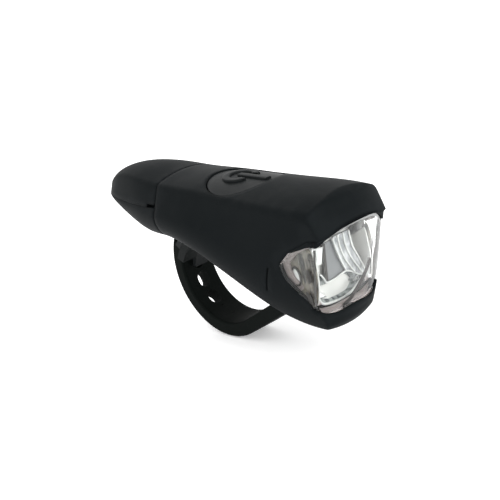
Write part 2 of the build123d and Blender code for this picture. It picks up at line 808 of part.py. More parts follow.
# Charging plug under the cap
with BuildPart() as usb_plug:
    add(block(usb_tip_x, usb_root_x, usb_width / 2, usb_centre_height - usb_height / 2,
              usb_centre_height + usb_height / 2))
    add(block(usb_tip_x - overrun, usb_root_x + overrun, usb_width / 2 - usb_skin,
              usb_centre_height - usb_height / 2 + usb_skin, usb_centre_height + usb_height / 2 - usb_skin),
        mode=Mode.SUBTRACT)
usb_plug.part.label = "usb_plug"
export_step(usb_plug.part, "parts/usb_plug.step")

tongue_foot = usb_centre_height - usb_height / 2 + usb_skin + fit_gap / 2
with BuildPart() as usb_tongue:
    add(block(usb_tip_x + usb_tongue_inset, usb_root_x, usb_width / 2 - usb_skin - fit_gap / 2, tongue_foot,
              tongue_foot + usb_tongue_thickness))
usb_tongue.part.label = "usb_tongue"
export_step(usb_tongue.part, "parts/usb_tongue.step")

with BuildPart() as usb_contacts:
    for index in range(usb_contact_count):
        contact_y = (index - (usb_contact_count - 1) / 2) * usb_contact_pitch
        with Locations((usb_tip_x + 2 * usb_tongue_inset + usb_contact_length / 2, contact_y,
                        tongue_foot + usb_tongue_thickness + usb_contact_thickness / 2)):
            Box(usb_contact_length, usb_contact_width, usb_contact_thickness)
usb_contacts.part.label = "usb_contacts"
export_step(usb_contacts.part, "parts/usb_contacts.step")

# Rear cap in two shells that pull off together
cap_hollow = outer_form(cap_wall)
with BuildPart() as notches:
    add(block(seam_x - seam_gap - notch_length, seam_x, 2 * half_width, cap_parting_height,
              cap_parting_height + notch_height))
    add(outer_form(notch_depth), mode=Mode.SUBTRACT)
with BuildPart() as cap_shell:
    add(skin)
    split(bisect_by=Plane.YZ.offset(seam_x - seam_gap), keep=Keep.BOTTOM)
    add(cap_hollow, mode=Mode.SUBTRACT)
    add(notches.part, mode=Mode.SUBTRACT)
with BuildPart() as rear_cap_upper:
    add(cap_shell.part)
    split(bisect_by=Plane.XY.offset(cap_parting_height + fit_gap / 2), keep=Keep.TOP)
rear_cap_upper.part.label = "rear_cap_upper"
export_step(rear_cap_upper.part, "parts/rear_cap_upper.step")
with BuildPart() as rear_cap_lower:
    add(cap_shell.part)
    split(bisect_by=Plane.XY.offset(cap_parting_height - fit_gap / 2), keep=Keep.BOTTOM)
rear_cap_lower.part.label = "rear_cap_lower"
export_step(rear_cap_lower.part, "parts/rear_cap_lower.step")

# Saddle on the handlebar: a hard cradle with the strap's peg, and a rubber pad
with BuildPart() as bar_cradle:
    add(ring_sector(bar_rest_radius + fit_gap, cradle_radius, pad_front_angle, cradle_rear_angle,
                    pad_half_width))
    add(ring_sector(tongue_radius, cradle_radius, tongue_start_angle, cradle_rear_angle,
                    tongue_half_width))
    add(ring_sector(tongue_radius, tongue_radius + tongue_thickness, tongue_start_angle, tongue_end_angle,
                    tongue_half_width))
    peg_centre = loop_point(strap_mid_radius, hole_first_angle)
    peg_front = -tongue_radius - tongue_thickness / 2
    peg_rear = loop_x - strap_outer_radius - seat_gap
    add(lengthwise(peg_centre[1], peg_radius, peg_rear, peg_front))
    add(lengthwise(peg_centre[1], peg_head_radius, peg_rear - peg_head_length, peg_rear))
    for side in (-1, 1):
        add(upright(0, side * cradle_screw_y, screw_radius + fit_gap, bar_radius, saddle_radius),
            mode=Mode.SUBTRACT)
        add(upright(0, side * cradle_screw_y, screw_head_radius + fit_gap, bar_radius,
                    bar_rest_radius + screw_head_height + fit_gap), mode=Mode.SUBTRACT)
bar_cradle.part.label = "bar_cradle"
export_step(bar_cradle.part, "parts/bar_cradle.step")

with BuildPart() as cradle_screws:
    for side in (-1, 1):
        add(screw((0, side * cradle_screw_y, bar_rest_radius + screw_head_height + fit_gap / 2),
                  (0, 0, -1), screw_length))
cradle_screws.part.label = "cradle_screws"
export_step(cradle_screws.part, "parts/cradle_screws.step")

with BuildPart() as saddle_pad:
    add(ring_sector(bar_radius, bar_rest_radius, pad_front_angle, pad_rear_angle, pad_half_width))
    add(ring_sector(bar_radius - overrun, bar_rest_radius + overrun, pad_slot_angle,
                    pad_rear_angle + pad_front_angle, tongue_half_width + fit_gap), mode=Mode.SUBTRACT)
saddle_pad.part.label = "saddle_pad"
export_step(saddle_pad.part, "parts/saddle_pad.step")

# Rubber strap with its holes, and the pin it hangs on
with BuildPart() as strap:
    add(strap_solid(0, strap_softness))
    for plane in strap_hole_planes():
        with BuildSketch(plane):
            SlotOverall(hole_length, 2 * hole_radius, rotation=90)
        extrude(amount=strap_thickness, both=True, mode=Mode.SUBTRACT)
    add(crosswise(anchor_x, anchor_z, anchor_pin_radius + fit_gap, strap_width), mode=Mode.SUBTRACT)
strap.part.label = "strap"
export_step(strap.part, "parts/strap.step")

with BuildPart() as strap_pin:
    add(crosswise(anchor_x, anchor_z, anchor_pin_radius, boss_half_span - anchor_boss_wall / 2 - fit_gap))
strap_pin.part.label = "strap_pin"
export_step(strap_pin.part, "parts/strap_pin.step")
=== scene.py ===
import logging
import math
from dataclasses import dataclass, field
from enum import Enum
from functools import partial
from typing import Callable, Dict, List, Sequence, Tuple

import bmesh
import bpy
from mathutils import Matrix, Vector
from mathutils.bvhtree import BVHTree


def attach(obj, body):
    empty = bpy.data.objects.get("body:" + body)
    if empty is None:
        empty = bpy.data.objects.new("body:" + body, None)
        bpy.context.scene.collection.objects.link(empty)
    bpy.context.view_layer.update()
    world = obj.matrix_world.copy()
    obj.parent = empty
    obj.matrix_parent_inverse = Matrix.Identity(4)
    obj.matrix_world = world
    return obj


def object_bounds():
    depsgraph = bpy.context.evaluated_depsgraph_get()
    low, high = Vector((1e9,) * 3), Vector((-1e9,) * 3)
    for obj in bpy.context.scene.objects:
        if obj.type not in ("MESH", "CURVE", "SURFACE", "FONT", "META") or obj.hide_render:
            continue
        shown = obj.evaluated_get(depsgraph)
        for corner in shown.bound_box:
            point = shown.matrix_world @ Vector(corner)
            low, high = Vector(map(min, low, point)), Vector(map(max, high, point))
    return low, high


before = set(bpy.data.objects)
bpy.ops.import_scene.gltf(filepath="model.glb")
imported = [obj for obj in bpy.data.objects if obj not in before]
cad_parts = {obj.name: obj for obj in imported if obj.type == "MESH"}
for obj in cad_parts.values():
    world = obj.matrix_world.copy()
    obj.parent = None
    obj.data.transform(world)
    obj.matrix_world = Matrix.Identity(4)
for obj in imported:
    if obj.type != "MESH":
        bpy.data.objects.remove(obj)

Point = Tuple[float, float, float]
Place = Tuple[float, float]
Colour = Tuple[float, float, float]
Value = float | bpy.types.NodeSocket
CAD_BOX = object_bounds()
MM = 0.001
SHARP_ANGLE = 38.0
SMOOTHEST = 0.02
GRAIN_STRENGTH = 0.5
RIPPLE_STRENGTH = 0.4
BEVEL_SAMPLES = 6
ROD_SIDES = 8
SIDES = ((-1.0, "right"), (1.0, "left"))
ROD_GUIDE = Vector((0.31, 0.17, 0.94))
REPORT = logging.getLogger("headlight")


class Body(Enum):
    """Rigid bodies of the light that a made piece rides on."""

    LIGHT = "light"
    BUTTON = "button"


class Slot(Enum):
    """Material slots of the light's record that a made piece takes."""

    SHELL = "shell"
    RUBBER = "rubber"
    MIRROR = "mirror"


class EffectGroups:
    """Shader node groups that several finishes share, each built once."""

    ACROSS_SQUEEZE = 0.6
    MIDDLE = 0.5
    _built: Dict[str, bpy.types.NodeTree] = {}

    @classmethod
    def _group(cls, name: str, inputs: Dict[str, float], outputs: Sequence[str]) -> bpy.types.NodeTree:
        """Makes an empty group with float sockets.

        Args:
            name: Name of the group.
            inputs: Default value of each input socket by its name.
            outputs: Names of the output sockets.

        Returns:
            The group with its input and output nodes in place.
        """
        group = bpy.data.node_groups.new(name, "ShaderNodeTree")
        for socket_name, value in inputs.items():
            socket = group.interface.new_socket(socket_name, in_out="INPUT", socket_type="NodeSocketFloat")
            socket.default_value = value
        for socket_name in outputs:
            group.interface.new_socket(socket_name, in_out="OUTPUT", socket_type="NodeSocketFloat")
        group.nodes.new("NodeGroupInput").name = "in"
        group.nodes.new("NodeGroupOutput").name = "out"
        cls._built[name] = group
        return group

    @classmethod
    def grain(cls) -> bpy.types.NodeTree:
        """Fine moulded grain over a slow drift of tone.

        Returns:
            The group, with outputs Height and Tone.
        """
        if "moulded grain" in cls._built:
            return cls._built["moulded grain"]
        group = cls._group("moulded grain", {"Scale": 1500.0, "Drift Scale": 40.0}, ("Height", "Tone"))
        nodes, links = group.nodes, group.links
        place = nodes.new("ShaderNodeTexCoord")
        fine = nodes.new("ShaderNodeTexNoise")
        fine.inputs["Detail"].default_value = 2.0
        slow = nodes.new("ShaderNodeTexNoise")
        slow.inputs["Detail"].default_value = 3.0
        for texture, socket in ((fine, "Scale"), (slow, "Drift Scale")):
            links.new(place.outputs["Object"], texture.inputs["Vector"])
            links.new(nodes["in"].outputs[socket], texture.inputs["Scale"])
        links.new(fine.outputs["Fac"], nodes["out"].inputs["Height"])
        links.new(slow.outputs["Fac"], nodes["out"].inputs["Tone"])
        return group

    @staticmethod
    def _math(group: bpy.types.NodeTree, operation: str, first: Value, second: Value) -> bpy.types.NodeSocket:
        """Joins two values in a math node.

        Args:
            group: Group that takes the node.
            operation: What the node does.
            first: First number, or its socket.
            second: Second number, or its socket.

        Returns:
            The socket of the result.
        """
        node = group.nodes.new("ShaderNodeMath")
        node.operation = operation
        for socket, value in zip(node.inputs, (first, second)):
            if isinstance(value, bpy.types.NodeSocket):
                group.links.new(value, socket)
            else:
                socket.default_value = value
        return node.outputs[0]

    @classmethod
    def edge_wear_and_highlight(cls) -> bpy.types.NodeTree:
        """Mask that is high where the surface bends outwards: wear, and a painted highlight along the edges.

        Returns:
            The group, with the output Mask.
        """
        if "edge wear and highlight" in cls._built:
            return cls._built["edge wear and highlight"]
        group = cls._group("edge wear and highlight", {"Amount": 0.3, "Reach": 0.56}, ("Mask",))
        nodes, links = group.nodes, group.links
        geometry = nodes.new("ShaderNodeNewGeometry")
        ramp = nodes.new("ShaderNodeMapRange")
        ramp.inputs["From Min"].default_value = 0.5
        ramp.interpolation_type = "SMOOTHSTEP"
        links.new(geometry.outputs["Pointiness"], ramp.inputs["Value"])
        links.new(nodes["in"].outputs["Reach"], ramp.inputs["From Max"])
        # outward edges: wear, and a painted highlight where the edges catch the light
        worn_and_lit = cls._math(group, "MULTIPLY", ramp.outputs["Result"], nodes["in"].outputs["Amount"])
        links.new(worn_and_lit, nodes["out"].inputs["Mask"])
        return group

    @classmethod
    def dust(cls) -> bpy.types.NodeTree:
        """Thin dust that settles on faces that look up.

        Returns:
            The group, with the output Mask.
        """
        if "settled dust" in cls._built:
            return cls._built["settled dust"]
        group = cls._group("settled dust", {"Amount": 0.05, "Scale": 260.0}, ("Mask",))
        nodes, links = group.nodes, group.links
        geometry = nodes.new("ShaderNodeNewGeometry")
        parts = nodes.new("ShaderNodeSeparateXYZ")
        place = nodes.new("ShaderNodeTexCoord")
        specks = nodes.new("ShaderNodeTexNoise")
        specks.inputs["Detail"].default_value = 6.0
        upward = nodes.new("ShaderNodeMapRange")
        patches = nodes.new("ShaderNodeMapRange")
        patches.inputs["From Min"].default_value = 0.45
        patches.inputs["From Max"].default_value = 0.75
        links.new(geometry.outputs["Normal"], parts.inputs[0])
        links.new(parts.outputs["Z"], upward.inputs["Value"])
        links.new(place.outputs["Object"], specks.inputs["Vector"])
        links.new(nodes["in"].outputs["Scale"], specks.inputs["Scale"])
        links.new(specks.outputs["Fac"], patches.inputs["Value"])
        settled = cls._math(group, "MULTIPLY", upward.outputs["Result"], patches.outputs["Result"])
        thin = cls._math(group, "MULTIPLY", settled, nodes["in"].outputs["Amount"])
        links.new(thin, nodes["out"].inputs["Mask"])
        return group

    @classmethod
    def streaks(cls) -> bpy.types.NodeTree:
        """Upright streaks, as a thick clear wall shows what lies behind it; on the scoop they are painted
        reflections and highlights.

        Returns:
            The group, with the output Mask.
        """
        if "upright streaks" in cls._built:
            return cls._built["upright streaks"]
        group = cls._group("upright streaks", {"Width": 0.9, "Stretch": 0.3, "Contrast": 0.12}, ("Mask",))
        nodes, links = group.nodes, group.links
        entry = nodes["in"].outputs
        place = nodes.new("ShaderNodeTexCoord")
        parts = nodes.new("ShaderNodeSeparateXYZ")
        joined = nodes.new("ShaderNodeCombineXYZ")
        grown = nodes.new("ShaderNodeVectorMath")
        grown.operation = "SCALE"
        texture = nodes.new("ShaderNodeTexNoise")
        texture.inputs["Scale"].default_value = 1.0
        texture.inputs["Detail"].default_value = 0.6
        texture.inputs["Distortion"].default_value = 0.35
        ramp = nodes.new("ShaderNodeMapRange")
        ramp.interpolation_type = "SMOOTHSTEP"
        links.new(place.outputs["Object"], parts.inputs[0])
        links.new(parts.outputs["X"], joined.inputs["X"])
        links.new(cls._math(group, "MULTIPLY", parts.outputs["Y"], cls.ACROSS_SQUEEZE), joined.inputs["Y"])
        links.new(cls._math(group, "MULTIPLY", parts.outputs["Z"], entry["Stretch"]), joined.inputs["Z"])
        links.new(joined.outputs[0], grown.inputs[0])
        links.new(cls._math(group, "DIVIDE", 1.0 / MM, entry["Width"]), grown.inputs["Scale"])
        links.new(grown.outputs[0], texture.inputs["Vector"])
        links.new(cls._math(group, "SUBTRACT", cls.MIDDLE, entry["Contrast"]), ramp.inputs["From Min"])
        links.new(cls._math(group, "ADD", cls.MIDDLE, entry["Contrast"]), ramp.inputs["From Max"])
        links.new(texture.outputs["Fac"], ramp.inputs["Value"])
        links.new(ramp.outputs["Result"], nodes["out"].inputs["Mask"])
        return group


def place_group(tree: bpy.types.NodeTree, group: bpy.types.NodeTree, **values: float) -> bpy.types.Node:
    """Places a shared effect in a material.

    Args:
        tree: Node tree of the material.
        group: Shared node group.
        values: Input values, with underscores for the spaces of the socket names.

    Returns:
        The group node.
    """
    node = tree.nodes.new("ShaderNodeGroup")
    node.node_tree = group
    for name, value in values.items():
        node.inputs[name.replace("_", " ")].default_value = value
    return node


@dataclass(frozen=True)
class Finish:
    """Opaque finish with grain, lighter edges that are partly wear and partly a painted highlight, and a
    little dust.
    """

    name: str
    colour: Colour
    second: Colour
    roughness: float
    metallic: float = 0.0
    grain_scale: float = 1500.0
    grain_depth: float = 0.02
    drift_scale: float = 45.0
    rough_spread: float = 0.12
    # lighter edge colour: partly wear, partly a painted highlight
    wear_and_highlight: float = 0.12
    wear_and_highlight_colour: Colour = (0.10, 0.105, 0.11)
    dust: float = 0.04
    dust_colour: Colour = (0.32, 0.31, 0.29)
    specular: float = 0.5
    coat: float = 0.0
    sheen: float = 0.0
    streak_width: float = 0.0
    streak_contrast: float = 0.12
    edge_radius: float = 0.0
    glow: float = 0.0

    def material(self) -> bpy.types.Material:
        """Builds the finish's material, once.

        Returns:
            The material.
        """
        known = bpy.data.materials.get(self.name)
        if known is not None:
            return known
        material = bpy.data.materials.new(self.name)
        material.use_nodes = True
        tree = material.node_tree
        nodes, links = tree.nodes, tree.links
        shader = nodes["Principled BSDF"]
        shader.inputs["Metallic"].default_value = self.metallic
        shader.inputs["Specular IOR Level"].default_value = self.specular
        shader.inputs["Coat Weight"].default_value = self.coat
        shader.inputs["Sheen Weight"].default_value = self.sheen
        grain = place_group(tree, EffectGroups.grain(), Scale=self.grain_scale, Drift_Scale=self.drift_scale)
        # lighter colour on outward edges: wear, and a painted highlight
        wear_and_highlight = place_group(tree, EffectGroups.edge_wear_and_highlight(), Amount=self.wear_and_highlight)
        dust = place_group(tree, EffectGroups.dust(), Amount=self.dust)
        mask = grain.outputs["Tone"]
        if self.streak_width > 0.0:
            streaks = place_group(tree, EffectGroups.streaks(), Width=self.streak_width,
                                  Contrast=self.streak_contrast)
            mask = streaks.outputs["Mask"]
        tone = self.mix(tree, mask, self.colour, self.second)
        worn_and_lit = self.mix(tree, wear_and_highlight.outputs["Mask"], tone.outputs["Color"], self.wear_and_highlight_colour)
        dusty = self.mix(tree, dust.outputs["Mask"], worn_and_lit.outputs["Color"], self.dust_colour)
        links.new(dusty.outputs["Color"], shader.inputs["Base Color"])
        if self.glow > 0.0:
            links.new(dusty.outputs["Color"], shader.inputs["Emission Color"])
            shader.inputs["Emission Strength"].default_value = self.glow
        rough = nodes.new("ShaderNodeMapRange")
        rough.inputs["To Min"].default_value = max(SMOOTHEST, self.roughness - self.rough_spread)
        rough.inputs["To Max"].default_value = min(1.0, self.roughness + self.rough_spread)
        links.new(grain.outputs["Tone"], rough.inputs["Value"])
        links.new(rough.outputs["Result"], shader.inputs["Roughness"])
        bump = nodes.new("ShaderNodeBump")
        bump.inputs["Strength"].default_value = GRAIN_STRENGTH
        bump.inputs["Distance"].default_value = self.grain_depth * MM
        links.new(grain.outputs["Height"], bump.inputs["Height"])
        if self.edge_radius > 0.0:
            rounded = nodes.new("ShaderNodeBevel")
            rounded.samples = BEVEL_SAMPLES
            rounded.inputs["Radius"].default_value = self.edge_radius * MM
            links.new(rounded.outputs["Normal"], bump.inputs["Normal"])
        links.new(bump.outputs["Normal"], shader.inputs["Normal"])
        return material

    @staticmethod
    def mix(tree: bpy.types.NodeTree, mask: bpy.types.NodeSocket, first: Colour | bpy.types.NodeSocket,
            second: Colour | bpy.types.NodeSocket) -> bpy.types.Node:
        """Mixes two colours by a mask.

        Args:
            tree: Node tree of the material.
            mask: Socket of the mask.
            first: Colour, or socket of a colour, where the mask is 0.
            second: Colour, or socket of a colour, where the mask is 1.

        Returns:
            The mix node.
        """
        mix = tree.nodes.new("ShaderNodeMixRGB")
        tree.links.new(mask, mix.inputs["Fac"])
        for socket, value in ((mix.inputs["Color1"], first), (mix.inputs["Color2"], second)):
            if isinstance(value, bpy.types.NodeSocket):
                tree.links.new(value, socket)
            else:
                socket.default_value = (*value, 1.0)
        return mix


@dataclass(frozen=True)
class ClearFinish:
    """Clear moulded plastic with a faint tint and fine ripples."""

    name: str
    colour: Colour = (0.97, 0.985, 0.98)
    second: Colour = (0.93, 0.95, 0.94)
    roughness: float = 0.02
    ior: float = 1.12
    coat: float = 0.35
    ripple_scale: float = 90.0
    ripple_depth: float = 0.05
    drift_scale: float = 60.0
    rough_shares: Tuple[float, float] = (0.5, 1.5)

    def material(self) -> bpy.types.Material:
        """Builds the clear material, once.

        Returns:
            The material, which lets lamps shine through it.
        """
        known = bpy.data.materials.get(self.name)
        if known is not None:
            return known
        material = bpy.data.materials.new(self.name)
        material.use_nodes = True
        tree = material.node_tree
        nodes, links = tree.nodes, tree.links
        shader = nodes["Principled BSDF"]
        shader.inputs["Transmission Weight"].default_value = 1.0
        shader.inputs["IOR"].default_value = self.ior
        shader.inputs["Coat Weight"].default_value = self.coat
        grain = place_group(tree, EffectGroups.grain(), Scale=self.ripple_scale,
                            Drift_Scale=self.drift_scale)
        tone = Finish.mix(tree, grain.outputs["Tone"], self.colour, self.second)
        links.new(tone.outputs["Color"], shader.inputs["Base Color"])
        rough = nodes.new("ShaderNodeMapRange")
        for socket, share in zip(("To Min", "To Max"), self.rough_shares):
            rough.inputs[socket].default_value = self.roughness * share
        links.new(grain.outputs["Tone"], rough.inputs["Value"])
        links.new(rough.outputs["Result"], shader.inputs["Roughness"])
        bump = nodes.new("ShaderNodeBump")
        bump.inputs["Strength"].default_value = RIPPLE_STRENGTH
        bump.inputs["Distance"].default_value = self.ripple_depth * MM
        links.new(grain.outputs["Height"], bump.inputs["Height"])
        links.new(bump.outputs["Normal"], shader.inputs["Normal"])
        path = nodes.new("ShaderNodeLightPath")
        open_way = nodes.new("ShaderNodeBsdfTransparent")
        both = nodes.new("ShaderNodeMixShader")
        links.new(path.outputs["Is Shadow Ray"], both.inputs["Fac"])
        links.new(shader.outputs["BSDF"], both.inputs[1])
        links.new(open_way.outputs["BSDF"], both.inputs[2])
        links.new(both.outputs["Shader"], nodes["Material Output"].inputs["Surface"])
        return material


PLAIN = {"wear_and_highlight": 0.0, "dust": 0.0, "grain_depth": 0.0}
# on the black shell and rubbers the lighter edges are chiefly a painted highlight along edges and creases
SOFT_SHELL = Finish("soft black shell", (0.0034, 0.0048, 0.0053), (0.0054, 0.0069, 0.0077), 0.55,
                    grain_depth=0.03, specular=0.032, wear_and_highlight=0.05, wear_and_highlight_colour=(0.04, 0.044, 0.048),
                    dust=0.010, edge_radius=2.0)
BUTTON_RUBBER = Finish("button rubber", (0.0046, 0.0058, 0.0060), (0.0070, 0.0084, 0.0088), 0.46,
                       grain_depth=0.02, specular=0.06, wear_and_highlight=0.05, wear_and_highlight_colour=(0.05, 0.054, 0.058),
                       dust=0.010, edge_radius=0.25)
STRAP_RUBBER = Finish("strap rubber", (0.0030, 0.0042, 0.0037), (0.0048, 0.0062, 0.0056), 0.58,
                      grain_scale=900.0, specular=0.022, wear_and_highlight=0.03, wear_and_highlight_colour=(0.04, 0.045, 0.045),
                      dust=0.006)
PAD_RUBBER = Finish("pad rubber", (0.0055, 0.0065, 0.0065), (0.0085, 0.0100, 0.0100), 0.55,
                    grain_scale=900.0, specular=0.05, wear_and_highlight=0.05, wear_and_highlight_colour=(0.04, 0.045, 0.045),
                    dust=0.010)
SADDLE_PLASTIC = Finish("saddle plastic", (0.006, 0.0072, 0.0076), (0.0095, 0.011, 0.0115), 0.42,
                        specular=0.06, wear_and_highlight=0.05, dust=0.010)
WHITE_PLASTIC = Finish("white plastic", (0.72, 0.72, 0.69), (0.80, 0.80, 0.78), 0.35,
                       wear_and_highlight_colour=(0.85, 0.85, 0.84))
MIRROR = Finish("bright mirror", (0.86, 0.86, 0.87), (0.92, 0.92, 0.92), 0.13, metallic=1.0,
                grain_depth=0.01, rough_spread=0.05, wear_and_highlight=0.0, dust=0.0)
BOARD_GREEN = Finish("board green", (0.01, 0.10, 0.05), (0.015, 0.13, 0.06), 0.35,
                     wear_and_highlight_colour=(0.2, 0.3, 0.2))
BARE_METAL = Finish("bare metal", (0.62, 0.63, 0.64), (0.70, 0.71, 0.72), 0.32, metallic=1.0,
                    wear_and_highlight_colour=(0.85, 0.85, 0.86))
BRIGHT_STEEL = Finish("bright steel", (0.60, 0.60, 0.61), (0.70, 0.70, 0.71), 0.22, metallic=1.0,
                      wear_and_highlight_colour=(0.88, 0.88, 0.88))
CELL_FILM = Finish("cell film", (0.03, 0.10, 0.32), (0.04, 0.13, 0.40), 0.30, wear_and_highlight_colour=(0.2, 0.3, 0.5))
GILT = Finish("gilt contact", (0.83, 0.62, 0.25), (0.88, 0.70, 0.32), 0.20, metallic=1.0, wear_and_highlight=0.0)
PHOSPHOR = Finish("yellow phosphor", (0.85, 0.72, 0.22), (0.90, 0.80, 0.32), 0.50, wear_and_highlight=0.0)
PALE_WALL = Finish("pale reflector wall", (0.50, 0.50, 0.485), (0.62, 0.61, 0.59), 0.34, drift_scale=120.0,
                   **PLAIN)
GREY_PANEL = Finish("grey reflector panel", (0.138, 0.141, 0.147), (0.180, 0.184, 0.190), 0.42,
                    drift_scale=150.0, **PLAIN)
BAND_GREY = Finish("banded reflector", (0.24, 0.245, 0.255), (0.50, 0.50, 0.51), 0.28, streak_width=0.7,
                   streak_contrast=0.2, **PLAIN)
# the silvered scoop's reflections and highlights are painted: grey streaks on a plain non-metal finish
SCOOP_PAINTED_REFLECTION = Finish("scoop with painted reflection", (0.055, 0.066, 0.068), (0.27, 0.29, 0.285), 0.26, wear_and_highlight=0.0,
                      dust=0.0, grain_depth=0.01, streak_width=0.9, streak_contrast=0.12)
RIM_BRIGHT = Finish("bright moulded rim", (0.50, 0.51, 0.50), (0.66, 0.66, 0.65), 0.18, **PLAIN)
RIM_PINK = Finish("pale seal", (0.23, 0.195, 0.19), (0.32, 0.275, 0.265), 0.40, **PLAIN)
# dark gaps, and also painted shade: the dark spots in the side windows
DARK_GAP_AND_SHADE = Finish("dark gap and painted shade", (0.012, 0.010, 0.009), (0.030, 0.025, 0.022), 0.45, wear_and_highlight=0.0, dust=0.0)
CORNER_GREY = Finish("grey corner line", (0.03, 0.029, 0.028), (0.06, 0.058, 0.056), 0.4, wear_and_highlight=0.0,
                     dust=0.0)
TOP_RIM_GREY = Finish("grey top rim", (0.17, 0.172, 0.175), (0.30, 0.30, 0.30), 0.3, **PLAIN)
SIDE_BLOCK = Finish("thick clear side", (0.016, 0.013, 0.010), (0.165, 0.150, 0.120), 0.16,
                    streak_width=1.5, streak_contrast=0.13, **PLAIN)
PALE_FLOOR = Finish("pale floor", (0.93, 0.93, 0.93), (0.95, 0.95, 0.95), 0.8, glow=0.33, **PLAIN)
CLEAR_LENS = ClearFinish("clear lens")

NODE_FINISHES: Dict[str, Finish | ClearFinish] = {
    "main_housing": SOFT_SHELL, "rear_cap_upper": SOFT_SHELL, "rear_cap_lower": SOFT_SHELL,
    "power_button": BUTTON_RUBBER, "strap": STRAP_RUBBER, "saddle_pad": PAD_RUBBER,
    "lens_gasket": RIM_PINK, "cap_seal": PAD_RUBBER, "bar_cradle": SADDLE_PLASTIC,
    "rear_spigot": SADDLE_PLASTIC, "tact_switch": SADDLE_PLASTIC, "switch_plunger": WHITE_PLASTIC,
    "battery_tray": WHITE_PLASTIC, "usb_tongue": WHITE_PLASTIC, "lens": CLEAR_LENS, "reflector": MIRROR,
    "main_board": BOARD_GREEN, "battery_cell": CELL_FILM, "heat_sink": BARE_METAL, "led_board": BARE_METAL,
    "led_emitter": PHOSPHOR, "usb_contacts": GILT, "usb_plug": BRIGHT_STEEL, "strap_pin": BRIGHT_STEEL,
    "board_screws": BRIGHT_STEEL, "led_screws": BRIGHT_STEEL, "cradle_screws": BRIGHT_STEEL,
}


def mesh_piece(name: str, build: Callable[[bmesh.types.BMesh], None], finish: Finish | ClearFinish,
               body: Body) -> bpy.types.Object:
    """Makes a mesh object, dresses it and rides it on a body.

    Args:
        name: Name of the piece.
        build: Fills the mesh.
        finish: Finish of the whole piece.
        body: Rigid body that carries the piece.

    Returns:
        The object.
    """
    shape = bmesh.new()
    build(shape)
    bmesh.ops.recalc_face_normals(shape, faces=shape.faces)
    mesh = bpy.data.meshes.new(name)
    shape.to_mesh(mesh)
    shape.free()
    for face in mesh.polygons:
        face.use_smooth = True
    mesh.set_sharp_from_angle(angle=math.radians(SHARP_ANGLE))
    piece = bpy.data.objects.new(name, mesh)
    bpy.context.scene.collection.objects.link(piece)
    mesh.materials.append(finish.material())
    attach(piece, body.value)
    REPORT.info("%s: %d faces on %s", name, len(mesh.polygons), body.value)
    return piece


@dataclass
class CadDress:
    """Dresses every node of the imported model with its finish."""

    finishes: Dict[str, Finish | ClearFinish] = field(default_factory=lambda: dict(NODE_FINISHES))

    def dress(self) -> None:
        """Gives each node its material."""
        for name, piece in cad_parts.items():
            piece.data.materials.clear()
            piece.data.materials.append(self.finishes[name].material())
            REPORT.info("%s: dressed as %s", name, self.finishes[name].name)


def smooth_path(points: Sequence[Sequence[float]], steps: int, closed: bool = False) -> List[Vector]:
    """Runs a smooth curve through points.

    Args:
        points: Points of any number of dimensions.
        steps: Steps between two points.
        closed: Whether the curve comes back to its start.

    Returns:
        The points of the curve.
    """
    knots = [Vector(point) for point in points]
    if closed:
        padded = [knots[-1], *knots, knots[0], knots[1]]
    else:
        padded = [2 * knots[0] - knots[1], *knots, 2 * knots[-1] - knots[-2]]
    path = []
    for index in range(1, len(padded) - 2):
        before, start, end, after = padded[index - 1:index + 3]
        for step in range(steps):
            share = step / steps
            path.append(0.5 * (2 * start + (end - before) * share
                               + (2 * before - 5 * start + 4 * end - after) * share ** 2
                               + (3 * start - before - 3 * end + after) * share ** 3))
    if not closed:
        path.append(knots[-1])
    return path


def even_path(path: Sequence[Vector], count: int) -> List[Vector]:
    """Divides a path into points that lie evenly along it.

    Args:
        path: Points of the path.
        count: Number of points wanted.

    Returns:
        The even points.
    """
    reached = [0.0]
    for start, end in zip(path, path[1:]):
        reached.append(reached[-1] + (end - start).length)
    even, leg = [], 0
    for index in range(count):
        wanted = reached[-1] * index / (count - 1)
        while leg < len(path) - 2 and reached[leg + 1] < wanted:
            leg += 1
        span = max(reached[leg + 1] - reached[leg], MM * MM)
        even.append(path[leg].lerp(path[leg + 1], min(1.0, (wanted - reached[leg]) / span)))
    return even


def turned(axis: float, reach: float, turn: float, height: float) -> Vector:
    """Point that is turned about an upright axis on the middle plane."""
    return Vector((axis + reach * math.cos(turn), reach * math.sin(turn), height))


def join_rings(shape: bmesh.types.BMesh, ring: Sequence[bmesh.types.BMVert],
               following: Sequence[bmesh.types.BMVert]) -> None:
    """Joins two matching rings of corners with a band of faces.

    Args:
        shape: Mesh that takes the faces.
        ring: Corners of the first ring.
        following: Corners of the second ring, in the same order.
    """
    for index in range(len(ring)):
        after = (index + 1) % len(ring)
        shape.faces.new((ring[index], ring[after], following[after], following[index]))


def fill_slab(shape: bmesh.types.BMesh, near: Sequence[Vector], far: Sequence[Vector]) -> None:
    """Fills the body between two matching loops, in millimetres.

    Args:
        shape: Mesh that takes the body.
        near: Points of the first loop.
        far: Points of the second loop, in the same order.
    """
    rings = [[shape.verts.new(point * MM) for point in loop] for loop in (near, far)]
    join_rings(shape, *rings)
    shape.faces.new(rings[0])
    shape.faces.new(reversed(rings[1]))


